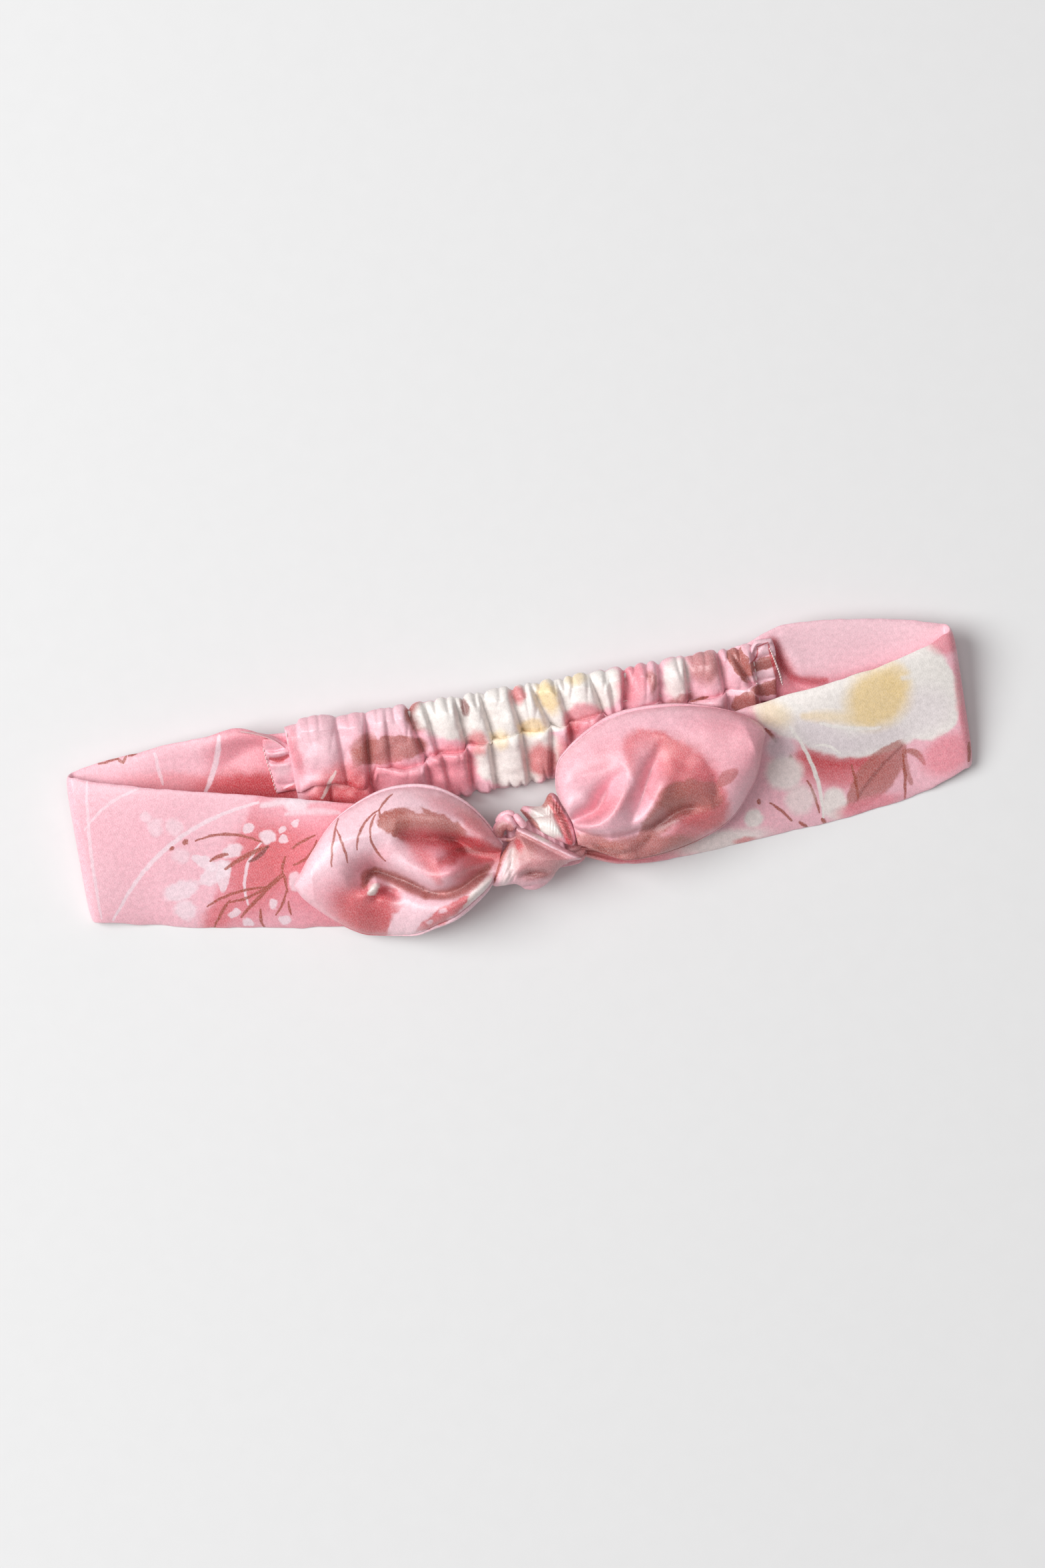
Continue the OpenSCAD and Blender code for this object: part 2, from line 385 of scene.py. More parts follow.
def satin(name, base, shapes, wander=0.9, roughness=0.42):
    """Printed satin: shapes of print, and some of painted shade and highlight, laid over a base colour in
    cloth millimetres, then its weave.
    """
    material = bpy.data.materials.new(name)
    material.use_nodes = True
    n = Nodes(material.node_tree)
    shader = n.tree.nodes["Principled BSDF"]
    place = n.scaled(n.add("ShaderNodeUVMap", uv_map="Cloth").outputs["UV"], UV_SCALE)

    def shaken(size, amount):
        """The place, moved about by noise, so that painted edges wander."""
        centred = n.vectors("SUBTRACT", n.noise(place, 1 / size, 2.0, "Color"), (0.5, 0.5, 0.5))
        return n.vectors("ADD", place, n.vectors("MULTIPLY", centred, (amount, amount, 0)))

    wide, narrow = shaken(3.0, 2.2 * wander), shaken(2.5, 0.6)
    cloud = n.noise(place, 1 / 14, 2.0)
    colour = n.mixed(n.maths("MULTIPLY", 0.55, cloud), base, PALE)
    for kind, sockets, paint, strength in shapes:
        shape = n.add("ShaderNodeGroup", node_tree=GROUPS[kind])
        n.put(shape.inputs["Place"], narrow if kind == "stroke" else wide)
        for socket, value in sockets.items():
            n.put(shape.inputs[socket], value)
        colour = n.mixed(n.maths("MULTIPLY", shape.outputs["Mask"], strength), colour, paint)

    # Threads: pale flecks in rows along the twill, and a coarser unevenness of the dye.
    turned = n.rotated(place, TWILL_TURN)
    thread = n.noise(n.vectors("MULTIPLY", turned, (1.9, 3.9, 1)), 1.0, 1.0)
    across = n.add("ShaderNodeSeparateXYZ", {"Vector": turned}).outputs["Y"]
    ribs = n.maths("SINE", n.maths("MULTIPLY", across, 2 * math.pi / TWILL))
    thread = n.maths("ADD", thread, n.maths("MULTIPLY", ribs, 0.11))
    colour = n.mixed(n.ranged(thread, 0.42, 0.68, 0.0, 0.15), colour, FLECK)
    dye = n.noise(place, 0.8, 3.0, roughness=0.65)
    shade = n.ranged(dye, 0.3, 0.7, 0.91, 1.06)
    dark = n.ranged(thread, 0.3, 0.5, 0.92, 1.0)
    n.put(shader.inputs["Base Color"], n.scaled(colour, shade, dark))
    slub = n.noise(place, 0.35, 2.0)
    height = n.maths("ADD", thread, n.maths("MULTIPLY", slub, 1.5))
    n.put(shader.inputs["Normal"], n.bump(height, 0.3, 0.00012))
    n.put(shader.inputs["Roughness"], n.ranged(thread, 0.0, 1.0, roughness - 0.06, roughness + 0.08))
    finish = {"IOR": 1.6, "Specular IOR Level": 0.6, "Sheen Weight": 0.06, "Sheen Roughness": 0.4,
              "Sheen Tint": SHEEN}
    for socket, value in finish.items():
        n.put(shader.inputs[socket], value)
    return material


def dull(name, colour, other, size, roughness, bump_depth=0.0002):
    """A matt material with its own grain, about size mm across, between two close colours."""
    material = bpy.data.materials.new(name)
    material.use_nodes = True
    n = Nodes(material.node_tree)
    shader = n.tree.nodes["Principled BSDF"]
    spot = n.add("ShaderNodeTexCoord").outputs["Object"]
    grain = n.noise(spot, 1 / (size * MM), 3.0, dimensions="3D")
    n.put(shader.inputs["Base Color"], n.mixed(grain, colour, other))
    n.put(shader.inputs["Normal"], n.bump(grain, 0.4, bump_depth))
    n.put(shader.inputs["Roughness"], roughness)
    return material


# ---------------------------------------------------------------- prints, with painted shade and highlights

BAND_LEFT = [
    # A rose ground behind the twigs, with a crisp left edge, deepest in its middle.
    blob((-49.1, -25.3), (90, 39), ROSE, 57, 0.025, 0.75),
    blob((-74, -7), (8, 12), SALMON, -30, 0.6, 0.75),
    blob((-66, -6), (9, 7), SALMON, 0, 0.6, 0.7),
    blob((-88, -19), (6, 3), SALMON, 40, 0.5, 0.6),
    blob((-71, -24), (12, 4), PINK, 0, 0.6, 0.6),
    blob((-62, 8), (10, 5), PINK, -10, 0.6, 0.5),
    blob((-45, -18), (22, 16), ROSE, 0, 0.4, 0.5),
    blob((-24, -14), (16, 14), BROWN, 0, 0.4, 0.6),
    # Long pale arcs.
    stroke((-119, -14), (-115.5, 23), PETAL, 0.8, 0.45, 0.4, 0.6),
    stroke((-118.5, 10.5), (-102, 18.7), PETAL, 1.5, 0.4, 0.4, 0.55),
    stroke((-116, -15), (-71, 9.5), PETAL, 6.0, 0.6, 0.4, 0.75),
    stroke((-70, 8.6), (-49, 6.6), PETAL, 0.6, 1.0, 0.8, 0.75),
    stroke((-64, 5.2), (-50, 3.0), PETAL, 0.6, 0.8, 0.8, 0.55),
    stroke((-72, -1), (-79, -17), PETAL, -2.4, 0.45, 0.4, 0.85),
    # Pale petals and dots.
    blob((-96, -10), (5, 2.5), PETAL, 10, 0.25, 0.8),
    blob((-96, -15.5), (3, 2.8), PETAL, 0, 0.25, 0.75),
    leaf((-86, -7), (6, 2.6), PETAL, 25, 0.2, 0.8),
    leaf((-84, -8.5), (4.5, 1.6), PETAL, 75, 0.2, 0.8),
    leaf((-88, -4), (4, 1.8), PETAL, -35, 0.2, 0.8),
    blob((-80, -2), (3, 1.8), PETAL, 10, 0.25, 0.8),
    blob((-70, 0), (2.1, 2), PETAL, 0, 0.2, 0.85),
    blob((-66, -1.3), (1.3, 1.2), PETAL, 0, 0.2, 0.8),
    blob((-75, 3.3), (1.4, 1.3), PETAL, 0, 0.2, 0.8),
    blob((-65, -13), (1.8, 2.6), PETAL, 0, 0.2, 0.8),
    blob((-70, -23), (1.7, 1.4), PETAL, 0, 0.2, 0.85),
    blob((-72.3, -18), (1.4, 1.4), PETAL, 0, 0.2, 0.85),
    blob((-80, -21.7), (1.5, 1.3), PETAL, 0, 0.2, 0.85),
    blob((-83, -18.6), (1.6, 1.1), PETAL, 0, 0.2, 0.8),
    blob((-61, 7), (3, 1.8), PETAL, -15, 0.3, 0.8),
    blob((-62, 2.5), (1.2, 1), PETAL, 0, 0.2, 0.8),
    blob((-66, 1.4), (1.2, 1), PETAL, 0, 0.2, 0.8),
    blob((-94, -1), (2.5, 2.2), PETAL, 0, 0.3, 0.5),
    blob((-99.5, 8), (2, 2.2), PETAL, 0, 0.3, 0.5),
    blob((-94.5, 7), (2.2, 2.4), PETAL, 0, 0.3, 0.5),
    blob((-101.5, 11), (1.4, 1.4), PETAL, 0, 0.3, 0.5),
    # Twigs and dashes.
    blob((-96, 1.6), (0.7, 0.6), TWIG, 0, 0.3, 0.9),
    blob((-92.3, 2.4), (0.8, 0.6), TWIG, 0, 0.3, 0.9),
    stroke((-89.5, 2.4), (-72, -1), TWIG, 2.0, 0.4),
    stroke((-86.5, -3.6), (-81.7, -2.6), TWIG, 0.3, 0.55),
    stroke((-83, -6.5), (-70.5, -2.5), TWIG, 0.6, 0.6),
    stroke((-76, -5.5), (-70.5, -2.5), UMBER, -0.4, 0.6),
    stroke((-64, -4), (-57.5, -1.8), TWIG, 0.3, 0.4),
    stroke((-64.6, -8.6), (-57.3, -3.2), TWIG, -1.2, 0.4),
    stroke((-90, -15.5), (-72, -13.2), TWIG, 1.2, 0.4),
    stroke((-83.5, -15.5), (-68, -10), TWIG, -1.5, 0.4),
    stroke((-68, -10), (-66.5, -6), TWIG, 0.2, 0.4),
    stroke((-89.5, -22), (-83.5, -15), TWIG, 0.4, 0.4),
    stroke((-81.5, -20), (-68, -11), TWIG, 0.4, 0.45),
    stroke((-68, -10), (-67.7, -15.5), TWIG, 0.2, 0.35),
    stroke((-72, -21), (-68, -15), TWIG, -0.5, 0.35),
    stroke((-68, -21.7), (-68, -18), TWIG, 0.1, 0.35),
    stroke((-76, -24), (-76, -19), TWIG, 0.3, 0.45),
]

# The return run's inner face, RETURN_SHIFT further along the cloth.
BAND_LEFT_RETURN = [
    blob((-72, 222), (11, 10), ROSE, 10, 0.4, 0.7),
    # The next two ovals are crimson and salmon painted shade along the front run's rear edge, where the
    # return run shows behind it.
    blob((-71, 213.5), (16, 4.6), CRIMSON, -10, 0.5, 0.95),
    blob((-90, 218), (16, 3), SALMON, -12, 0.5, 0.5),
    # Pale strokes and twig dashes of the print.
    stroke((-96.5, 227.5), (-96, 219), PETAL, 0, 0.5, 0.4, 0.6),
    stroke((-78.5, 229), (-85, 215), PETAL, 0.8, 0.8, 0.4, 0.8),
    stroke((-112, 227.2), (-106.5, 227.7), TWIG, 0, 0.35),
    stroke((-106.5, 227.7), (-105.4, 226.3), TWIG, 0, 0.4),
    stroke((-105.4, 226.3), (-104.2, 228), TWIG, 0, 0.4),
    stroke((-103.6, 227.9), (-101.6, 228.2), TWIG, 0, 0.35),
]

BAND_RIGHT = [
    # Deep pink under a wide pale flower by the fold, yellow and grey at its middle.
    blob((87, -8), (13.5, 6.0), SALMON, -12, 0.4, 0.75),
    leaf((86, -5.5), (13, 3.2), CRIMSON, -14, 0.5, 0.7),
    blob((81, -5), (7, 4.5), CRIMSON, -30, 0.6, 0.6),
    blob((95, 11), (24, 17.5), CREAM, 0, 0.04, 0.97),
    blob((111.5, 6), (9.8, 11.2), CREAM, 0, 0.05, 0.97),
    blob((72, 8), (8, 5), CREAM, -40, 0.15, 0.9),
    blob((82, 1), (9, 4), GREY, -30, 0.6, 0.7),
    blob((96, -2.5), (11, 3), GREY, 4, 0.6, 0.6),
    blob((111, 3), (7, 6), GREY, 0, 0.6, 0.5),
    blob((98.5, 8.5), (8.8, 7.4), YELLOW, 20, 0.35, 0.9),
    blob((104, 12.5), (4, 4.5), YELLOW, 0, 0.3, 0.6),
    stroke((78, 7), (96, 2), YELLOW, 0.6, 1.6, 0.8, 0.5),
    blob((70, 9), (5, 3), YELLOW, -30, 0.6, 0.5),
    stroke((82, 4.5), (98, 0.5), CREAM, -0.8, 0.5, 0.7, 0.8),
    stroke((80, -1.2), (86, -4.4), CREAM, 0.8, 0.4, 0.5, 0.9),
    stroke((106, 12.5), (119, 10.5), CREAM, 0.8, 0.9, 0.8, 0.7),
    # A brown leaf and an arched one beside it.
    leaf((95, -12.3), (13.4, 5.0), BROWN, 42, 0.12, 0.8),
    stroke((87.5, -19.2), (103, -5.5), UMBER, 0.9, 0.5, 0.8, 0.5),
    stroke((103.6, -6.9), (108.6, -11.2), BROWN, 1.2, 0.95, 0.4, 0.85),
    stroke((103.6, -7.5), (104.4, -16), BROWN, -0.6, 0.9, 0.5, 0.7),
    blob((115, -10), (7, 5), ROSE, 20, 0.4, 0.8),
    blob((119.6, 19.8), (5, 3), ROSE, 0, 0.4, 0.8),
    blob((122, 2), (2.5, 12), ROSE, 0, 0.4, 0.7),
    stroke((121.5, -8), (121, -12.8), TWIG, 0, 0.5),
    # The stem and the small marks left of it.
    stroke((73.8, 5), (79.2, -21), CREAM, 2.0, 0.55, 0.35, 0.9),
    stroke((88.8, -8.2), (89.2, -17.8), TWIG, 0.3, 0.4),
    stroke((103, -7.8), (102, -19.8), TWIG, 0.3, 0.45),
    stroke((76.2, -10.2), (78.2, -19.4), TWIG, 0.4, 0.4),
    stroke((65.4, -14.4), (70.4, -20.2), TWIG, 0.3, 0.4),
    stroke((72.5, -21), (74.5, -22.7), TWIG, 0, 0.5),
    stroke((78.8, -21.3), (79.6, -22.8), TWIG, 0, 0.5),
    stroke((67.3, 5.2), (69.5, 1.4), TWIG, 0.2, 0.5),
    blob((72.7, -3.2), (0.5, 0.9), TWIG, 0, 0.3, 0.9),
    blob((62.3, -13.6), (0.5, 0.8), TWIG, 0, 0.3, 0.9),
    blob((70.4, -7), (5, 4.6), CREAM, 0, 0.25, 0.8),
    blob((70.4, -0.2), (4, 3), GREY, 0, 0.35, 0.7),
    blob((73.5, -15), (4, 4), CREAM, 0, 0.35, 0.6),
    blob((60.4, -17.8), (2.6, 2.5), CREAM, 0, 0.25, 0.85),
    blob((82.7, -17.8), (3.5, 4.5), CREAM, 0, 0.25, 0.85),
    blob((50, -22.5), (13, 3), CREAM, 0, 0.4, 0.8),
    blob((57, -23.5), (3, 1), SALMON, 0, 0.5, 0.7),
    blob((92, -20), (9, 2.5), ROSE, 5, 0.4, 0.8),
    blob((25, -18), (16, 10), SALMON, 0, 0.5, 0.6),
    blob((16, -15), (9, 7), BROWN, 0, 0.5, 0.8),
]

BAND_RIGHT_RETURN = [
    blob((92, 224), (26, 9), PALE, -6, 0.5, 0.8),
    # The next two strokes are crimson painted shadow beside the right allowance and along the front run's
    # rear edge; the two ovals after them are rose painted shade along that edge.
    stroke((73.2, 228), (77.4, 217.2), CRIMSON, -1.0, 2.2, 0.9, 0.85),
    stroke((77, 217.4), (86, 215.6), CRIMSON, -0.5, 1.4, 0.8, 0.8),
    blob((75, 214), (9, 4), ROSE, -10, 0.5, 0.8),
    blob((97, 214), (20, 3), ROSE, 4, 0.5, 0.4),
]

# The left seam allowance and the flap that curls over it.
TAB_LEFT = [
    leaf((-67.5, 28.3), (9, 3.6), ROSE, -22, 0.5, 0.95),
    blob((-63, 18.5), (5, 8), PINK, 0, 0.3, 0.9),
    blob((-63, 17), (2.4, 2), PALE, 0, 0.6, 0.8),
    stroke((-66, 20.5), (-61.2, 20.6), CRIMSON, -0.7, 0.7, 0.4, 0.9),
    stroke((-64.8, 21.6), (-61.8, 21.4), PALE, 0.2, 0.3, 0.4, 0.8),
    blob((-62.2, 11.6), (2.2, 1.1), CRIMSON, 10, 0.5, 0.8),
    stroke((-63.8, 12), (-60.4, 13.2), PALE, 0, 0.35, 0.4, 0.85),
]

CASING = [
    blob((-49, 8), (10, 7), SALMON, 25, 0.35, 0.85),
    # The next oval is crimson painted shade on the lower row, just behind the front run's rear edge.
    blob((-48, 7.5), (10, 3.6), CRIMSON, 10, 0.5, 0.85),
    stroke((-54, 7.5), (-49, 14), CREAM, 0, 0.5, 0.4, 0.6),
    blob((-33.5, 17.2), (10, 3.6), BROWN, -2, 0.1, 0.85),
    leaf((-40.5, 18.5), (6, 3.2), BROWN, 50, 0.3, 0.7),
    blob((-52, 22), (7, 6), PALE, 0, 0.5, 0.7),
    blob((-33, 25.5), (8, 3.5), PALE, 8, 0.4, 0.7),
    blob((-24.6, 25), (3.2, 4.6), BROWN, 10, 0.2, 0.9),
    blob((-24.4, 24), (1.8, 3), UMBER, 10, 0.6, 0.7),
    blob((-34, 8), (8, 6), ROSE, 0, 0.4, 0.6),
    blob((3.5, 24.5), (29, 10.5), CREAM, 0, 0.06, 0.97),
    blob((0, 10), (12, 8.8), CREAM, 0, 0.08, 0.95),
    blob((-18, 9), (6.5, 7), ROSE, 0, 0.25, 0.8),
    blob((-9.8, 15), (2.5, 3.4), SALMON, 0, 0.4, 0.7),
    blob((-11.8, 25), (0.9, 2.3), UMBER, 8, 0.4, 0.8),
    blob((3, 26), (1.8, 2.6), SALMON, 10, 0.4, 0.8),
    blob((11, 24), (2.6, 5), YELLOW, 15, 0.4, 0.8),
    blob((19.4, 28), (2.6, 2.6), YELLOW, 0, 0.5, 0.6),
    blob((5.5, 16.5), (3.4, 2.4), YELLOW, 0, 0.4, 0.7),
    blob((-3.7, 14.8), (2.4, 2.6), YELLOW, 0, 0.5, 0.5),
    blob((6.5, 7), (4, 5), CRIMSON, 15, 0.35, 0.8),
    blob((13, 8), (2, 4), SALMON, 15, 0.4, 0.6),
    blob((19.5, 16), (5.5, 4.5), ROSE, 0, 0.25, 0.8),
    blob((16, 13.8), (1.8, 3), CRIMSON, -12, 0.4, 0.6),
    blob((34, 24), (4, 6), ROSE, -15, 0.35, 0.8),
    blob((39.3, 23), (1.1, 3.2), BROWN, 0, 0.4, 0.7),
    blob((46, 23), (3.6, 5.5), CREAM, -10, 0.25, 0.85),
    blob((54, 25), (4.3, 5.5), BROWN, 10, 0.35, 0.7),
    blob((46, 17), (4, 1.2), BROWN, 8, 0.4, 0.6),
    blob((63.4, 24.2), (2.4, 6.2), BROWN, 18, 0.05, 0.95),
    blob((62.5, 16.6), (3.8, 1.3), PALE, 3, 0.4, 0.85),
    blob((63.2, 12.6), (3.6, 3), BROWN, 0, 0.08, 0.92),
    # The next oval is rose painted shade down the first strip by the left join.
    blob((-58.7, 21), (1.3, 6.5), ROSE, 4, 0.6, 0.75),
    stroke((49, 16), (53.5, 16.4), TWIG, 0, 0.4),
    # Stripes on the allowance that lies folded beside the casing.
    blob((74, 22.6), (9, 1.8), BROWN, 3, 0.08, 0.95),
    blob((74, 19.6), (9, 1.5), PALE, 3, 0.2, 0.9),
    blob((74, 16.0), (9, 2.1), BROWN, 3, 0.08, 0.95),
    blob((72, 27), (6, 2.6), PALE, 0, 0.3, 0.8),
    stroke((66.6, 23.4), (68.8, 27.4), CRIMSON, -0.7, 0.22, 0.5, 0.85),
    stroke((68.8, 27.4), (71.8, 27.9), CRIMSON, 0, 0.22, 0.5, 0.85),
    stroke((71.9, 27.4), (73.4, 13.4), CRIMSON, 0, 0.4, 0.5, 0.85),
]

EAR_LEFT = [
    # Rose painted shade round the dimple; below it crimson, with crimson painted shade in the small dimple by
    # the lower fold; and a pale wedge.
    blob((-45, -11.5), (8, 3), ROSE, 12, 0.7, 0.45),
    blob((-51, -23.5), (11, 7), ROSE, -35, 0.6, 0.75),
    blob((-47, -24.5), (9, 7), SALMON, -30, 0.4, 0.95),
    blob((-46, -27.5), (5.5, 4), CRIMSON, -20, 0.6, 0.7),
    blob((-41.5, -21), (4, 2.2), CRIMSON, -10, 0.5, 0.7),
    leaf((-35, -27.5), (11, 3.4), PALE, 32, 0.25, 0.95),
    leaf((-26, -28.6), (10.5, 1.9), SALMON, 22, 0.3, 0.9),
    leaf((-16.5, -24.2), (6.5, 1.3), CREAM, 40, 0.4, 0.8),
    # A brown leaf on the upper lobe and faint brush marks beside it, with umber and crimson painted shade
    # along the fold under it.
    leaf((-28.5, -4.6), (14, 5.0), BROWN, -21, 0.1, 0.9),
    blob((-35.3, -2.2), (4.4, 3.4), BROWN, -10, 0.12, 0.9),
    blob((-26, -8.6), (8, 1.6), UMBER, -10, 0.7, 0.5),
    leaf((-30, 0.9), (4, 1.1), PALE, -35, 0.4, 0.8),
    blob((-20, -1.2), (8, 2.0), ROSE, -34, 0.7, 0.6),
    blob((-14, -7.5), (6, 2.2), SALMON, -50, 0.6, 0.7),
    blob((-17, -12.0), (8, 2.2), CRIMSON, -28, 0.6, 0.9),
    stroke((-10, -15.6), (-23, -9.4), UMBER, -1.4, 0.8, 0.9, 0.6),
    # The middle of the fold: rose and orange pink print, with crimson and umber painted shade along its
    # creases.
    blob((-25, -14), (10, 5), ROSE, -35, 0.6, 0.8),
    stroke((-9, -15.4), (-20, -10.2), CRIMSON, -1.2, 1.3, 0.9, 0.85),
    stroke((-20, -10.2), (-29, -8), UMBER, -0.6, 1.0, 0.9, 0.6),
    stroke((-32.5, -8), (-26.5, -20), SALMON, 1.0, 1.8, 0.9, 0.6),
    blob((-22, -14.3), (4.5, 1.5), CRIMSON, 14, 0.7, 0.8),
    stroke((-34, -6), (-21, -12), CRIMSON, 0.8, 2.0, 0.9, 0.6),
    stroke((-22, -11.6), (-10, -15.8), CRIMSON, 0.5, 2.4, 0.9, 0.8),
    stroke((-20, -12.4), (-11, -15.9), UMBER, 0.4, 0.9, 0.9, 0.6),
    blob((-15, -17.5), (6, 2.6), SALMON, 14, 0.6, 0.85),
    # A brown brush mark along the lower fold.
    stroke((-46.6, -17.5), (-43.1, -14.3), BROWN, 1.0, 1.5, 0.5, 0.85),
    stroke((-43.1, -14.3), (-30.7, -23.0), BROWN, 0.3, 1.8, 0.5, 0.85),
    stroke((-30.7, -23.0), (-13, -18.6), BROWN, -2.6, 1.7, 0.5, 0.85),
    stroke((-46, -17), (-42, -14.6), UMBER, 0.8, 0.8, 0.8, 0.7),
    stroke((-42, -14.8), (-28, -23.2), UMBER, 0.2, 0.8, 0.8, 0.6),
    # The next leaf is a cream painted highlight on the ridge beside the dimple.
    leaf((-44.2, -19.2), (2.4, 1.2), CREAM, 30, 0.5, 0.8),
    blob((-26.7, -28.1), (1.3, 0.8), PALE, 20, 0.4, 0.9),
    blob((-31, -30.5), (1.1, 0.7), PALE, 0, 0.4, 0.8),
    blob((-36.6, -11.4), (1.1, 1.5), PALE, 20, 0.5, 0.6),
    # Twigs.
    stroke((-34.8, 5.2), (-38.8, 1.6), TWIG, -0.4, 0.33),
    stroke((-38.8, 1.8), (-38.9, -0.4), TWIG, 0, 0.33),
    stroke((-38.8, 1.8), (-46.5, -7.7), TWIG, -1.7, 0.36),
    stroke((-40, 0.6), (-42.4, -5), TWIG, -0.5, 0.33),
    stroke((-42.4, -4.8), (-39.7, -12), TWIG, -0.6, 0.33),
    stroke((-50.2, 1.2), (-54, -10.9), TWIG, -0.5, 0.33),
    stroke((-51, -1.5), (-49.6, -10.7), TWIG, 0.3, 0.33),
]

EAR_RIGHT = [
    # Deep pink with a crisp right edge, brown over its near side, and a small leaf.
    blob((41, -4), (17.5, 8.7), SALMON, -52, 0.1, 0.9),
    blob((46, 0), (9, 3.5), CRIMSON, -50, 0.6, 0.6),
    blob((33, -2), (4.5, 9), PINK, -8, 0.7, 0.75),
    blob((44, -9.5), (8.6, 4.8), BROWN, -8, 0.12, 0.85),
    leaf((35.5, -13), (10.5, 3.6), BROWN, 38, 0.25, 0.8),
    leaf((54.3, -6), (4, 1.8), BROWN, 36, 0.2, 0.8),
    blob((44, -17.5), (8, 3.5), SALMON, 10, 0.5, 0.8),
    # The turned-under side, then painted shade: umber along the turned-under edge and the creases by it, and
    # rose in the folds by the knot and over the tip, which slopes away.
    blob((30, -21.3), (17, 3.8), BROWN, -6, 0.3, 0.85),
    blob((17, -17.6), (8, 2.4), BROWN, -24, 0.4, 0.8),
    stroke((30.7, -15.9), (43.8, -12.4), UMBER, -0.6, 1.4, 0.9, 0.65),
    stroke((16, -17.4), (24, -20.8), UMBER, -0.8, 0.8, 0.8, 0.6),
    stroke((24, -20.8), (31, -18), UMBER, -0.8, 1.0, 0.9, 0.6),
    blob((22, -8.5), (8, 2.2), ROSE, 25, 0.8, 0.7),
    blob((24, 4), (8, 5), ROSE, 20, 0.8, 0.45),
    blob((57, 2), (12, 11), ROSE, 0, 0.6, 0.42),
]

KNOT = [
    # The front wrap: speckled brown with a dark dimple and a pale rolled hem.
    blob((1, -18.5), (10, 7), BROWN, -35, 0.5, 0.6),
    blob((-2.5, -14), (4, 4), BROWN, 0, 0.5, 0.5),
    blob((-0.9, -22.6), (3.4, 1.4), UMBER, -8, 0.7, 0.75),
    blob((-3.6, -14.4), (0.9, 1.8), CRIMSON, 10, 0.4, 0.8),
    blob((-1, -25.6), (5, 1.6), PINK, 0, 0.6, 0.8),
    stroke((-3.8, -9.2), (11.9, -20.5), PALE, 0.3, 0.95, 0.25, 0.95),
    # The pleated end at its left.
    stroke((-5.8, -15.5), (-9.6, -23.6), CREAM, 0.4, 1.9, 0.7, 0.5),
    stroke((-6.3, -12.5), (-12.3, -22.5), BROWN, -0.6, 1.1, 0.3, 0.95),
    # The side wrap: white with a dark red ruffle, and brown at its rolled border.
    blob((4.6, -9.2), (4.6, 5.4), CREAM, 14, 0.2, 0.95),
    stroke((6.6, -3.2), (10.0, -15.8), CRIMSON, 0.5, 1.5, 0.35, 0.9),
    stroke((7.0, -4), (10.2, -14.8), UMBER, 0.4, 0.7, 0.8, 0.6),
    stroke((-1.6, -5.2), (2.3, -11), BROWN, 0.2, 0.8, 0.4, 0.9),
    blob((5.6, -3.4), (2.2, 1.6), BROWN, 45, 0.3, 0.85),
    # The tucks.
    blob((-7, -9.2), (2.6, 2.2), BROWN, 10, 0.4, 0.8),
]

# ---------------------------------------------------------------- the band

# The casing and the return runs of the band stand on a slope that rises away from the bow.
SLOPE = math.radians(24)
SLOPE_Y = 2.6
SLOPE_Z = 0.9
# The folds: how far they bulge past the runs, where they end, and the cloth's X at them.
FOLD_R = 1.7
FOLD_X = 122.5
FOLD_UV = 120
# Thickness of the band's two layers, and the lowest that they may lie.
BAND_T = 2.2
FLOOR_Z = 0.08
# Middle of the knot and of the gathered band in it.
KNOT_Y = -16.5
KNOT_Z = 8.6
# Plan of each half's edges: from the join to the fold, then from the fold to the knot.
BAND_EDGES = {
    -1: {
        "return_rear": [(-56, 26.2), (-60, 26.5), (-66, 27.4), (-70.4, 29.2), (-74.5, 30.2), (-82, 29.4),
                        (-91, 29.1), (-101, 28.4), (-112, 27.4), (-118.8, 26.2)],
        "return_near": [(-56, 3.0), (-60, 3.2), (-85, -2.5), (-105, -9.5), (-119.5, -14.8)],
        "front_rear": [(-118.8, 24.4), (-113, 22.2), (-101, 18.9), (-85, 14.6), (-69, 10.8), (-56.5, 7.4),
                       (-47.5, 5.2), (-33, 0), (-20, -6.5), (-9.5, -11)],
        "front_near": [(-119.5, -15.4), (-107.5, -18), (-91, -21.8), (-54.3, -27.9), (-36, -28.3),
                       (-24, -26.6), (-15, -23), (-9.5, -21)],
    },
    1: {
        "return_rear": [(63, 28.4), (67, 29), (74, 31.4), (78.5, 32.1), (91, 31), (109, 27.9), (119.4, 24.9)],
        "return_near": [(63, 4.8), (67, 5), (85, 1), (105, -6), (119.4, -13.6)],
        "front_rear": [(119.4, 21.9), (112, 19), (97.7, 16), (83.4, 13.9), (73, 13), (60, 11.2),
                       (50, 9), (40, 5), (30, 0), (20, -6), (11.5, -11)],
        "front_near": [(119.4, -14.9), (114, -17.1), (103, -20.3), (91, -21.8), (79, -22.9), (63, -23.8),
                       (44.4, -25.1), (31.6, -25.2), (21.8, -23.9), (15.7, -21.4), (11.5, -19.5)],
    },
}
# Soft folds on the outer face of the front run.
FRONT_FOLDS = {
    -1: [(ridge, [(-66, 9, 0), (-52, 0, 1), (-40, -6, 1)], 0.8, 5),
         (valley, [(-60, 8, 0), (-50, 3, 1), (-38, -1, 1)], 0.7, 2.5)],
    1: [(valley, [(60, 10.8, 0.4), (66, 6, 1), (71, 0, 0.8), (73, -7, 0)], 0.9, 2.2),
        (ridge, [(64, 12, 0.3), (71, 7, 1), (76, -1, 0.8), (78, -10, 0)], 0.6, 3),
        (valley, [(14, -21, 1), (30, -23.4, 0.8), (44, -23.4, 0)], 0.9, 1.5)],
}
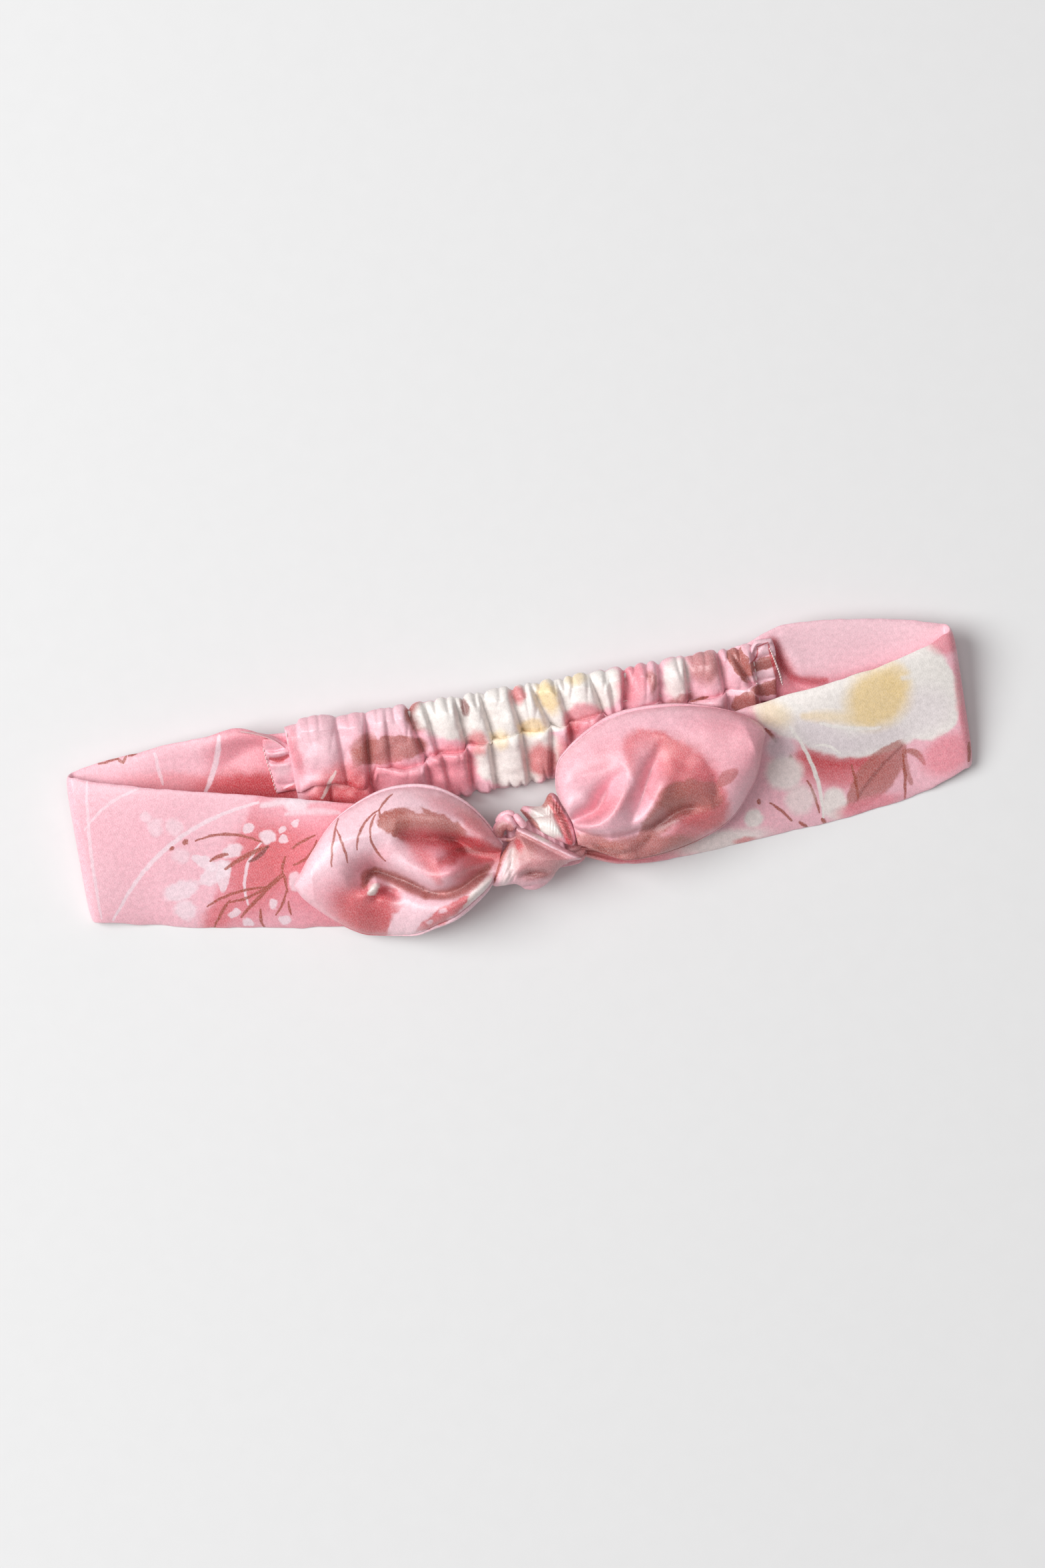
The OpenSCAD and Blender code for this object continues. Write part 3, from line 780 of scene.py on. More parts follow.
# Folds of the return run's inner face, where it shows behind the front run.
RETURN_FOLDS = {
    -1: [(valley, [(-62, 22, 0.8), (-69, 24.5, 1), (-77, 22, 0.7), (-84, 18, 0)], 1.3, 3.5),
         (ridge, [(-64, 27, 0.4), (-74, 28.4, 1), (-86, 27, 0.3)], 0.8, 2.2),
         (ridge, [(-66, 16, 0.6), (-76, 18, 1), (-90, 20, 0)], 0.7, 3)],
    1: [(valley, [(74, 24, 0.6), (75.5, 19, 1), (79, 15.5, 1), (86, 13.6, 0.3)], 1.8, 1.7),
        (ridge, [(76, 28, 0.5), (79, 21, 1), (86, 17, 0.4)], 0.9, 3),
        (valley, [(74, 30, 0.3), (73.5, 24, 1), (74.5, 18, 0.6)], 1.1, 1.2)],
}


def pinch(x):
    """How far the band is drawn together at x: 0 from 42 mm out, 1 at the knot."""
    return smooth((42 - np.abs(x)) / 31.5)


def front_heights(x):
    """Heights of the front run's near and rear edges, and of the arch between them."""
    a = np.minimum(1, np.abs(x) / FOLD_X)
    near = mix(0.25 + 3.4 * smooth((a - 0.84) / 0.16), KNOT_Z, pinch(x))
    rear = mix(12 + 2.5 * np.sin(math.pi * a ** 2), KNOT_Z, pinch(x))
    return near, rear, mix(1.6 * np.sin(math.pi * a), 0, pinch(x))


def slope_z(y):
    return SLOPE_Z + (y - SLOPE_Y) * math.tan(SLOPE)


def band_rails(side):
    """Near and rear edges of one half of the band: return run, fold, then front run."""
    edges = BAND_EDGES[side]
    rails = []
    for row, (which, fold_z) in enumerate((("near", 0.25), ("rear", 8.6))):
        back = spline(edges["return_" + which], 84)
        share = np.linspace(0, 1, len(back))
        seam_z = 1.0 if which == "near" else slope_z(edges["return_rear"][0][1])
        back = np.column_stack([back, mix(seam_z, fold_z, smooth(share))])
        front = spline(edges["front_" + which], 176)
        front = np.column_stack([front, front_heights(front[:, 0])[row]])
        turn = np.linspace(0, math.pi, 13)[1:-1, None]
        middle, reach = (back[-1] + front[0]) / 2, (back[-1] - front[0]) / 2
        turn = middle + reach * np.cos(turn) + np.array([side * FOLD_R, 0, 0]) * np.sin(turn)
        rails.append(np.vstack([back, turn, front]))
    return rails, len(back), len(back) + len(turn)


def band_half(side, material):
    """One half of the band: two layers of satin, sewn along both edges and turned back."""
    (near, rear), fold, front = band_rails(side)
    v = rounded(61)[None, :, None]
    centre = near[:, None] * (1 - v) + rear[:, None] * v
    v = v[..., 0]
    x, y = centre[..., 0], centre[..., 1]
    rows = np.arange(len(near))[:, None]
    on_front = smooth((rows - fold) / (front - fold))
    gathered = pinch(x) * on_front
    inside = 1 - np.abs(2 * v - 1) ** 10
    centre[..., 2] += 4 * v * (1 - v) * front_heights(x)[2] * on_front
    centre[..., 2] += 0.5 * ripple(x, y, 17, 5 + side) * inside * (1 - gathered)
    for edge, sign in ((v, -1), (1 - v, 1)):
        pucker = 0.22 * ripple(x, y, 5.5, 9 + side) + 0.12 * ripple(x, y, 2.2, 21 + side)
        centre[..., 1] += sign * pucker * bell(edge, 0.06)
    normal = -side * grid_normals(centre)
    half = BAND_T / 2 * bulge(2 * v - 1, 7)
    half = half * (1 + 0.5 * gathered)

    pleats = np.cos(2 * math.pi * (5.5 * v + 0.5 * ripple(x, 0 * y, 14, 3 + side)))
    pleats = 1.25 * gathered * (2 - gathered) * pleats * inside
    outer = pleats + relief_of(x, y, FRONT_FOLDS[side]) * inside * on_front
    inner = -pleats + relief_of(x, y, RETURN_FOLDS[side]) * inside * (1 - on_front)
    closed = np.minimum(1, np.minimum(rows, len(near) - 1 - rows) / 2)
    layers = [centre + normal * (closed * (half + outer))[..., None],
              centre - normal * (closed * (half + inner))[..., None]]
    for points in layers:
        points[..., 2] = np.maximum(points[..., 2], FLOOR_Z)

    # Cloth coordinates: the plan where a face looks up, and run on round the fold from there.
    steps = np.linalg.norm(np.diff(centre, axis=0), axis=2)
    length = np.vstack([np.zeros((1, steps.shape[1])), np.cumsum(steps, axis=0)])
    past_fold = np.maximum(length[front] - length, 0)
    before_fold = np.maximum(length - length[fold], 0)
    outer_uv = stacked(np.where(rows < front, side * (FOLD_UV + past_fold), x), y)
    inner_uv = stacked(np.where(rows > fold, side * (FOLD_UV + before_fold), x), y + RETURN_SHIFT)
    name = "band_left" if side < 0 else "band_right"
    return mesh_from_grids(name, [(layers[0], outer_uv), (layers[1], inner_uv)], material)


# ---------------------------------------------------------------- the casing

# Each crease is (x at the rear edge, x at the middle seam, strength), or, in the lower row,
# (x at the middle seam, x at the near edge, strength).
UPPER_CREASES = [
    (-61, -61, 0.5), (-46.5, -46.5, 0.3), (-38.5, -40.5, 0.9), (-33, -34, 0.2), (-27, -24.5, 1),
    (-22, -21, 0.5), (-14, -13, 1), (-7, -5.5, 0.9), (1, 2.5, 1), (7, 10.5, 0.7), (14, 15.5, 0.6),
    (23, 25, 0.8), (28, 28, 0.3), (32.5, 30.5, 1), (41.5, 40.5, 0.9), (49, 48.5, 0.9), (58, 58.5, 0.9),
    (61.5, 66, 0.6), (68, 68, 1)]
LOWER_CREASES = [
    (-61, -61, 1), (-51, -52, 0.3), (-40.5, -39, 1), (-24.5, -24.5, 0.8), (-20, -19, 0.4),
    (-13, -13.5, 1), (-6.5, -7, 0.9), (2.5, 2, 1), (10.5, 8, 0.6), (15.5, 14, 0.8), (25, 24, 0.8),
    (30.5, 30.5, 0.7), (40.5, 40.5, 0.9), (48.5, 48.5, 0.8), (58.5, 58.5, 0.9), (68, 68, 1)]
# Plan of the seam between the rows.
MIDDLE_SEAM = [
    (-61, 12), (-55.5, 14.5), (-49.5, 14), (-42.5, 11), (-40, 11.8), (-38, 15.5), (-30.5, 14),
    (-24.8, 14.4), (-23, 16), (-13.7, 15.9), (-12.5, 16.8), (-6.5, 17), (1.5, 18), (2.8, 17.4),
    (10.5, 18), (13, 17.5), (24, 19.5), (26, 18), (30.5, 18.6), (40, 19.6), (41.5, 18),
    (48.5, 18), (58, 18.6), (60, 19.4), (68, 19.5)]
# What sets the two rows apart: their creases, their seed, and the longest of their wrinkles.
LOWER_ROW = (LOWER_CREASES, 31, 8)
UPPER_ROW = (UPPER_CREASES, 33, 12)
CASING_W = 28.0
CASING_X = (-60.6, 67.6)
CASING_FLOOR_Z = 0.06
# How far down the slope the seam is set from its line in plan.
SEAM_DROP = 0.9


def lobes(x, share, creases, swell):
    """Height of the puffs between creases: each rises slowly and drops at its right-hand crease."""
    first, second, strength = np.array(creases, float).T
    height = np.zeros(np.broadcast(x, share).shape)
    for a, b, c, d, sa, sb in zip(first, second, first[1:], second[1:], strength, strength[1:]):
        left, right = mix(a, b, share), mix(c, d, share)
        inside = (x >= left) & (x < right)
        part = np.clip((x - left) / (right - left), 0, 1)
        rise = sa * (1 - part) ** 2.2 + sb * np.exp(-((right - x) / 0.45).clip(0) ** 1.2)
        dome = 0.24 * np.sin(math.pi * part ** 1.3) * (right - left) ** 0.5
        height = np.where(inside, swell * (1 - rise) + dome, height)
    return height


def wrinkles(x, inward, seed, longest):
    """Depth of short creases that fan in from a gathered edge, at a distance inward from it."""
    rng = np.random.default_rng(seed)
    depth = 0.0 * x * inward
    at = CASING_X[0]
    while at < CASING_X[1]:
        at += rng.uniform(2.1, 5.2)
        length, slant = rng.uniform(0.3, 1) * longest, rng.uniform(-0.35, 0.35)
        deep = rng.uniform(0.4, 1.5) * mix(0.4, 1, smooth((at + 36) / 12))
        width = rng.uniform(0.45, 0.85)
        fade = np.clip(1 - inward / length, 0, 1)
        away = np.abs(x - at - slant * inward) / (width * (0.45 + 0.55 * fade))
        depth = depth + deep * fade ** 1.2 * np.exp(-away ** 1.3)
    return depth


def on_casing(x, w, h):
    """A place on the slope: w mm up it from the near edge, and h mm out of its inner face."""
    y = SLOPE_Y + w * math.cos(SLOPE) - h * math.sin(SLOPE)
    z = SLOPE_Z + w * math.sin(SLOPE) + h * math.cos(SLOPE)
    return stacked(x, y, z)


def casing_piece(material):
    """The gathered tube round the elastic, its two rows lapped at the seam between them."""
    x = np.linspace(*CASING_X, 440)[:, None]
    seam = (line_at(MIDDLE_SEAM, x) - SLOPE_Y) / math.cos(SLOPE) - SEAM_DROP
    near_edge = -0.5 - 0.3 * lobes(x, 1, LOWER_CREASES, 1.6) + 0.8 * wrinkles(x, 0, *LOWER_ROW[1:])
    rear_edge = CASING_W - 0.3 + 0.4 * lobes(x, 0, UPPER_CREASES, 1.6)
    rear_edge = rear_edge - 0.9 * wrinkles(x, 0, *UPPER_ROW[1:])
    # The first puffs on the left stand a little further back than the others.
    rear_edge = rear_edge + 1.1 * smooth((x + 57.4) / 1.2) * smooth((-44 - x) / 8)
    ends = np.minimum(smooth((x - CASING_X[0]) / 1.6), smooth((CASING_X[1] - x) / 1.6)) * 0.7 + 0.3
    # The upper row laps over the lower one at the left, and under it from there on.
    lap = mix(1, -1, smooth((x + 42) / 4))

    def row_height(w, share, edge, over, row):
        """Height of one row, whose free edge is edge mm away; over is 1 where it is on top."""
        creases, seed, longest = row
        from_seam = np.abs(w - seam)
        fullness = 2.0 * bulge((w - near_edge) / (rear_edge - near_edge) * 2 - 1, 5)
        relief = (lobes(x, share, creases, 3.0) + 0.55 * ripple(x, w, 5, seed + 5)
                  + 0.2 * ripple(x, w, 2.2, seed + 6))
        relief = relief - wrinkles(x, edge, seed, longest) - 0.5 * wrinkles(x, from_seam, seed + 9, 5)
        relief = relief + (0.5 + 0.9 * over) * bell(from_seam, 3) - 0.5 * bell(from_seam, 0.9)
        return fullness + relief * np.sqrt(np.clip(edge / 2.0, 0, 1)) * ends

    w_low = mix(near_edge, seam + 0.5 * lap, rounded(99)[None, :50] * 2)
    w_up = mix(seam + 0.5 * lap, rear_edge, np.sin(np.linspace(0, 1, 60)[None, :] ** 1.1 * math.pi / 2))
    low_share = np.clip(1 - w_low / seam, 0, 1)
    up_share = np.clip((rear_edge - w_up) / (rear_edge - seam), 0, 1)
    h_low = row_height(w_low, low_share, w_low - near_edge, -lap, LOWER_ROW)
    h_up = row_height(w_up, up_share, rear_edge - w_up, lap, UPPER_ROW)
    turn = np.linspace(-math.pi / 2, math.pi / 2, 8)[None, 1:-1]
    w_turn = seam + lap * (0.5 - 0.8 * np.cos(turn))
    h_turn = mix(h_low[:, -1:], h_up[:, :1], (1 + np.sin(turn)) / 2)
    top = on_casing(x, np.hstack([w_low, w_turn, w_up]), np.hstack([h_low, h_turn, h_up]))
    uv = stacked(x, top[..., 1])

    across = rounded(50)[None, :]
    w_under = mix(near_edge, rear_edge, across)
    under = lobes(x, across * 0.5, UPPER_CREASES, 1.2) + 0.35 * ripple(x, 0.15 * w_under, 2.8, 39)
    bottom = on_casing(x, w_under, -bulge(2 * across - 1, 5) * (2.0 + under * ends))
    for points in (bottom, top):
        points[..., 2] = np.maximum(points[..., 2], CASING_FLOOR_Z)
    under_uv = stacked(x, 60 - bottom[..., 1])
    return mesh_from_grids("casing", [(top, uv), (bottom, under_uv)], material)


# ---------------------------------------------------------------- the ears

# Plan of the ears' edges, from the knot to the tip.
LEFT_UPPER = [(-8, -13.5), (-9.5, -10.5), (-13, -4.5), (-17.5, 0.5), (-23.5, 4.5), (-31, 6.5), (-39.5, 6),
              (-50.5, 1.5), (-58.5, -6), (-65.5, -14.5)]
LEFT_LOWER = [(-11, -21), (-14, -24), (-18.5, -27), (-24, -30), (-29.5, -31.5), (-36, -33), (-46, -31.5),
              (-50.5, -30), (-56, -26), (-63, -19), (-65.5, -14.5)]
RIGHT_UPPER = [(11.5, -10), (9.2, -4), (9, 0.5), (10.5, 5.5), (13.5, 8.5), (19, 12), (26, 15), (33.5, 16),
               (43.5, 15.5), (53, 13.5), (60.5, 10.5), (65.5, 7), (67, 4)]
RIGHT_LOWER = [(12, -16.5), (19, -20.5), (24.5, -23), (34.5, -23), (45, -21), (54, -17), (60.5, -10),
               (63.5, -5), (65.5, 0.5), (67, 4)]
# How far the back layer shows beyond the seam, in mm at equal steps from the knot to the tip,
# for the lower and the upper edge.
LEFT_LIPS = [(1.2, 1.6, 1.0, 0.3, 0.3, 0.3, 0.3), (0.9, 1.0, 1.1, 0.8, 0.5, 0.3, 0.3)]
RIGHT_LIPS = [(0.3, 0.3, 0.3, 0.3, 0.3, 0.3), (0.3, 0.4, 0.9, 1.1, 1.0, 0.4, 0.3)]
# An S-shaped fold from the knot, a deeper one below it, and a dimple by the lower edge.
LEFT_FOLDS = [
    (valley, [(-8.5, -16.3, 1), (-15, -14.5, 1), (-20, -10, 1), (-27, -8.3, 0.75), (-36, -4.5, 0)], 4.8, 3.1),
    (valley, [(-8.5, -15.8, 1), (-15, -14.2, 1), (-20, -10, 1), (-25, -8.6, 0)], 1.6, 0.9),
    (valley, [(-15, -19.6, 0), (-20, -22.4, 1), (-28, -23, 1), (-36, -18.2, 0.8), (-43, -14.2, 1)], 1.1, 0.9),
    (valley, [(-14.5, -15, 0.5), (-18.5, -13.9, 1), (-22, -13.3, 0.8), (-26, -14.3, 0)], 2.4, 2.2),
    (valley, [(-10.5, -19.3, 1), (-17, -20.7, 1), (-22, -23.3, 1), (-28, -23, 0.9), (-37, -17.5, 1),
              (-43, -14.3, 1), (-46, -16.5, 0.7)], 5.0, 2.9),
    (ridge, [(-12, -17, 0.5), (-20, -18, 1), (-28, -19, 1), (-36, -13.5, 0.7), (-42, -9, 0)], 1.6, 2.6),
    (valley, [(-38.5, -21.3, 0.8), (-41, -20, 1), (-43.6, -20.6, 0.4)], 3.0, 1.3),
    (ridge, [(-44.3, -18.7, 1), (-46.5, -20, 0.7), (-49, -21, 0.2)], 1.4, 1.9),
    (ridge, [(-18, -6, 0.7), (-25, -2.5, 1), (-33, 0.5, 1), (-44, -2, 0.4)], 1.3, 5),
    (valley, [(-50, -16, 0.3), (-46.5, -13.5, 1), (-41, -11.5, 0.4)], 1.2, 4.0),
]
# Two folds that fan out from the knot, and the shade along the turned-under side.
RIGHT_FOLDS = [
    (valley, [(11.5, -10.3, 1), (18, -8.7, 1), (21, -5.2, 0.9), (23, -2.5, 0)], 1.3, 0.9),
    (valley, [(11.5, -10.3, 1), (18, -8.5, 1), (21, -5, 0.9), (23.5, -2, 0.6), (28, 1.5, 0)], 4.4, 2.6),
    (ridge, [(12, -12.6, 0.6), (21, -10.5, 1), (26, -5.5, 0.9), (30, -1, 0)], 1.5, 2.4),
    (valley, [(27, -13.5, 0.4), (30.5, -8, 1), (34, -1.5, 1), (37, 3.5, 0.5), (39, 8, 0)], 2.6, 2.4),
    (ridge, [(30, -13, 0.3), (36.5, -5.5, 1), (42, 1, 0)], 1.1, 3),
    (valley, [(9, -1, 0.3), (15, 1, 1), (22, 2, 0.6), (28, 5, 0)], 0.9, 2.6),
    (valley, [(33, -15.5, 0.7), (38, -13.2, 1), (43, -12.2, 0.9), (49, -13, 0)], 2.4, 1.7),
    (valley, [(49, -13, 0), (51, -9, 1), (50.5, -3, 0.5), (47, 4, 0)], 0.8, 2.5),
]
TURNED_UNDER = [(10, -11.4), (12, -12.6), (16, -15), (21, -16.6), (26, -16.6), (33, -15.6), (40, -13.4)]
# What the depths above are multiplied by, the gap under the ears, and their seams' thickness.
FOLD_DEPTH = 1.75
EAR_CLEAR = 0.9
SEAM_T = 0.75


def ear_floor(x, y):
    """Height of an ear's underside: on the band's slope at the tip, level by the knot."""
    return mix(np.minimum(14.6, 5.6 + 0.40 * (y + 27)), 14.4, smooth((48 - np.abs(x)) / 26))


def ear(name, upper, lower, material, puff, relief, lips):
    """A sewn leaf of satin that puffs up between its seams, with folds from the knot."""
    stations, across = 150, rounded(96)[None, :, None]
    edges = [spline(line, stations)[:, None, :] for line in (lower, upper)]
    t = np.linspace(0, 1, stations)[:, None]
    out = edges[1] - edges[0]
    width = np.linalg.norm(out, axis=2)
    out = out / np.maximum(width[..., None], 1e-6)
    shown = [np.interp(t, np.linspace(0, 1, len(lip)), lip) for lip in lips]
    step = np.linspace(0, 1, 7)[None, 1:]
    low_lip = edges[0] - out * (shown[0] * step[:, ::-1])[..., None]
    high_lip = edges[1] + out * (shown[1] * step)[..., None]
    plan = np.concatenate([low_lip, edges[0] * (1 - across) + edges[1] * across, high_lip], 1)
    x, y = plan[..., 0], plan[..., 1]
    v = np.concatenate([0 * step, across[..., 0], 0 * step + 1], 1)
    lip = np.concatenate([step[:, ::-1], 0 * across[..., 0], step], 1)

    from_seam = np.minimum(v, 1 - v) * width
    crown = np.clip(1 - np.abs(2 * v - 1) ** 2.3, 0, 1) ** 0.55
    closing = np.sqrt(smooth(t / 0.04)) * np.minimum(1, width / 15) ** 0.4
    top = SEAM_T + crown * closing * puff
    top = np.maximum(relief(x, y, top, crown * closing), SEAM_T * 0.8 + 0.4 * crown)
    top = top + bell(from_seam - 0.7, 1.2) * 0.3 * (ripple(x, y, 2.0, 51) + 0.4)
    roll = SEAM_T * np.sqrt(np.clip(1 - (2 * lip - 0.7) ** 2 / 1.69, 0, 1))
    top = np.where(lip > 0, roll, np.where((v == 0) | (v == 1), 0.32, top))
    floor = ear_floor(x, y) + EAR_CLEAR
    wave = 0.45 * ripple(x, y, 8, 53) * bell(from_seam, 4)
    face = stacked(x, y, floor + top + wave)
    under = stacked(x, y, floor + wave - 0.3 * np.sin(math.pi * np.clip(from_seam / 3, 0, 0.5)))
    # The back layer is plainer, so it keeps only every fifth row, and meets the face's edges.
    under = under[:, [0] + list(range(4, x.shape[1] - 4, 5)) + [x.shape[1] - 1]]
    under[:, 0], under[:, -1] = face[:, 0], face[:, -1]
    return mesh_from_grids(name, [(face, plan_uv(face)), (under, plan_uv(under, (0, 90)))], material)


def left_folds(x, y, top, crown):
    """The left ear's face."""
    folds = relief_of(x, y, LEFT_FOLDS) + 0.45 * ripple(x, y, 10, 61) + 0.15 * ripple(x, y, 4, 62)
    return top + FOLD_DEPTH * folds * crown


def right_folds(x, y, top, crown):
    """The right ear's face, whose near side is turned under along a line."""
    folds = relief_of(x, y, RIGHT_FOLDS) + 0.45 * ripple(x, y, 10, 63) + 0.15 * ripple(x, y, 4, 64)
    above = y - line_at(TURNED_UNDER, x)
    tucked = smooth((40 - x) / 13)
    rounding = np.sqrt(np.clip(1 - np.clip(1 - above / 3.2, 0, 1) ** 2, 0, 1))
    face = top + FOLD_DEPTH * folds * crown
    lobe = face * mix(1, rounding, tucked)
    flap = 1.9 + 1.2 * crown + 0.6 * ripple(x, y, 5, 65)
    return np.where(above > 0, np.maximum(lobe, mix(lobe, flap, tucked)), mix(face, flap, tucked))


# ---------------------------------------------------------------- the knot

FRONT_WRAP = [(-3.8, -8.6), (0, -11), (3, -13.2), (7.5, -16.6), (12.4, -20.4), (9.5, -20.9), (7, -21.6),
              (5, -23), (3.6, -24.6), (1.2, -26.2), (-1.5, -26.9), (-4.2, -26.2), (-6.5, -24.4),
              (-12.4, -23.8), (-11.2, -20), (-9.2, -16.4), (-6.6, -13.2), (-4.4, -11.4)]
SIDE_WRAP = [(-1.8, -5), (-0.6, -4), (2, -4.6), (4.4, -4.6), (6.6, -2), (8.4, -2.4), (10.2, -6),
             (11.6, -11), (11.9, -14.5), (10.6, -16.8), (7, -14.8), (2.8, -11.6), (0.6, -9)]
# A dimple, the edge and the ridge of the pleated end, and the rolled hem across the top.
FRONT_WRAP_FOLDS = [
    (valley, [(2.5, -22.9, 0.5), (-1, -22.3, 1), (-4, -22.2, 0.5)], 3.0, 1.3),
    (valley, [(-4.6, -12.5, 0.6), (-5.8, -16, 1), (-6.8, -20, 1), (-7, -24, 0.6)], 1.5, 0.8),
    (ridge, [(-7.5, -14.5, 0.6), (-10.3, -18.5, 1), (-12.2, -22.5, 0.8)], 1.0, 0.8),
    (ridge, [(-3.6, -9.4, 1), (1.1, -12.7, 1), (6.4, -16.6, 1), (11.6, -20.3, 0.9)], 2.2, 0.85),
    (valley, [(-3.4, -11.2, 1), (0.5, -14, 1), (5.6, -17.9, 1), (10, -20.9, 0.7)], 1.3, 0.7),
    (ridge, [(-2, -15, 0.5), (2, -18, 1), (5, -20, 0.6)], 0.8, 2.6),
]
# The groove and the rim of the ruffle, then the rolled left border and its groove.
SIDE_WRAP_FOLDS = [
    (valley, [(5.4, -4, 0.6), (6.9, -7.5, 1), (8.3, -12, 1), (9, -15.6, 0.6)], 1.1, 0.6),
    (ridge, [(7.6, -2.6, 0.7), (9.8, -7, 1), (11.2, -13, 1), (10.8, -16, 0.7)], 1.2, 0.6),
    (ridge, [(-1.2, -5.2, 1), (0.6, -7.9, 1), (2.3, -10.8, 0.9)], 1.2, 0.8),
    (valley, [(0, -5.4, 1), (1.7, -8, 1), (3.4, -11, 0.8)], 0.9, 0.6),
]
# Rolls of cloth that are tucked in above the front wrap, and their radii.
TUCKS = [[(-9.2, -11, 14.9), (-8, -8.6, 15.6), (-5.6, -7.8, 16.2), (-4, -9.6, 15.8)],
         [(-8.4, -7.2, 14.6), (-7, -5.7, 15.8), (-5, -5.2, 16.4), (-3.6, -6, 16.2)],
         [(-6, -5.8, 16.2), (-5, -6.9, 17.4), (-4, -9.2, 16.8)],
         [(-3.4, -6, 16.2), (-2.4, -7.6, 17.4), (-1.2, -9.6, 16.6)],
         [(-8.6, -11.4, 15), (-6, -12.3, 16), (-3.4, -11.8, 16.2)]]
TUCK_RADII = [1.7, 0.95, 1.0, 1.0, 0.5]
WRAP_LIFT = 0.1


def loop_top(y):
    """Height of the top of the turn of cloth round the gathered band."""
    return KNOT_Z + 5.9 * bulge((y - KNOT_Y) / 8.8, 4)


def pad(name, outline, height, material, relief):
    """A bulge of folded cloth over an outline, lying on the turn round the band."""
    closed = spline(outline + outline[:1], 141)
    middle = closed[:-1].mean(0)
    k = rounded(44)[None, :, None] * 2
    k = k[:, :22] / k[:, 21:22].max()
    plan = closed[:, None] * (1 - k) + middle * k
    x, y = plan[..., 0], plan[..., 1]
    base = loop_top(y) + WRAP_LIFT
    top = stacked(x, y, base + bulge(1 - k[..., 0], 2.4) * (height + relief(x, y)))
    under = stacked(x, y, base)
    return mesh_from_grids(name, [(top, plan_uv(top)), (under, plan_uv(under, (0, 60)))], material)


def knot_loop(material):
    """One turn of the tie round the gathered band, with pleats that run round it."""
    a = np.linspace(0, 2 * math.pi, 121)[None, :]
    x = np.linspace(-6.5, 8.5, 70)[:, None]
    half_w, half_t = 6.9, 3.9

    def ring(folds):
        reach = (np.abs(np.cos(a)) ** 4 + np.abs(np.sin(a)) ** 4) ** -0.25
        y = KNOT_Y + (half_w + folds) * np.cos(a) * reach * drawn_in
        z = KNOT_Z + (half_t + folds) * np.sin(a) * reach
        return stacked(x, y, z)

    pleat = 0.35 * np.cos(2 * math.pi * (x / 2.9 + 0.3 * ripple(x, 3 * np.cos(a), 4, 71)))
    drawn_in = 1 - 0.35 * smooth(x / 6) * smooth(-np.cos(a) * 2)
    edge = bulge((x - 1) / 7.5, 8)
    uv = stacked(x, a * 6 - 60)
    grids = [(ring(1.3 * edge + pleat * edge), uv), (ring(-0.3 * edge), uv)]
    return mesh_from_grids("knot_loop", grids, material)


def wrap_folds(x, y):
    """The front wrap's folds, with fine pleats at its left."""
    pleats = np.sin(2 * math.pi * (0.62 * x - 0.45 * y) / 0.9) * smooth((-5.2 - x) / 1.5)
    return relief_of(x, y, FRONT_WRAP_FOLDS) + 0.32 * pleats + 0.35 * ripple(x, y, 3.4, 73)


def side_folds(x, y):
    """The side wrap's folds, with the waves of the ruffle along its right edge."""
    ruffle = np.sin(2 * math.pi * (y + 0.5 * x) / 0.9) * bell(x - 7.8 - 0.26 * (-4 - y), 1.0)
    pleats = np.sin(2 * math.pi * (x - 0.2 * y) / 0.8)
    return relief_of(x, y, SIDE_WRAP_FOLDS) + 0.3 * ruffle + 0.12 * pleats + 0.3 * ripple(x, y, 3, 75)


def gather_piece(material):
    """The middle of the band, squeezed into pleats inside the knot."""
    x = np.linspace(-12.5, 14.5, 60)[:, None]
    a = np.linspace(0, 2 * math.pi, 97)[None, :]
    pleat = 0.45 * np.cos(11 * a + 1.5 * ripple(x, np.cos(a), 9, 77))
    end = bulge((x - 1) / 13.5, 10)
    y = KNOT_Y + (5.3 + pleat) * np.cos(a) * end
    z = KNOT_Z + (2.8 + pleat) * np.sin(a) * end
    return mesh_from_grids("band_gather", [(stacked(x, y, z), stacked(x, KNOT_Y + 3 * a))], material)


# ---------------------------------------------------------------- small sewn pieces

# Plan of the two joins: the left and the right side of each allowance, and, at the left join,
# the free edge and the root of the fold that curls up over it.
LEFT_TAB = ([(-65.9, 10.9), (-66.3, 15.6), (-66.8, 20), (-67.2, 24.7), (-66.6, 26.2)],
            [(-59, 10.9), (-59, 15.6), (-59, 19.5), (-60.2, 23), (-63, 25.5)])
RIGHT_TAB = ([(65.8, 12.6), (66, 19), (65.8, 23.5), (67, 27.2), (68.6, 29.2)],
             [(72, 12.2), (72.6, 17), (73.4, 22), (73.6, 26), (73, 29.0)])
CURLED_EDGE = [(-74, 29.4), (-71, 28.6), (-67, 27), (-63.7, 24.9), (-61.4, 22.4), (-59.7, 19.6)]
CURLED_ROOT = [(-74, 29.4), (-70, 28.6), (-66, 27.3), (-62.5, 26), (-60.2, 24.8)]
LEFT_TAB_FOLDS = [
    (valley, [(-67, 20.2, 1), (-63, 19.4, 1), (-59, 20.2, 1)], 1.5, 0.6),
    (ridge, [(-66, 21.8, 0.8), (-63, 21.4, 1), (-60.5, 21.5, 0.8)], 0.9, 0.9),
    (valley, [(-66.5, 22.9, 0.7), (-64, 22.4, 1), (-62, 22.6, 0.3)], 0.8, 0.5),
    (ridge, [(-66, 18.4, 0.6), (-61, 18.2, 1)], 0.5, 0.9),
    (valley, [(-65.5, 13.5, 0.4), (-63, 12.8, 1), (-60, 13, 0.6)], 0.6, 0.6),
]
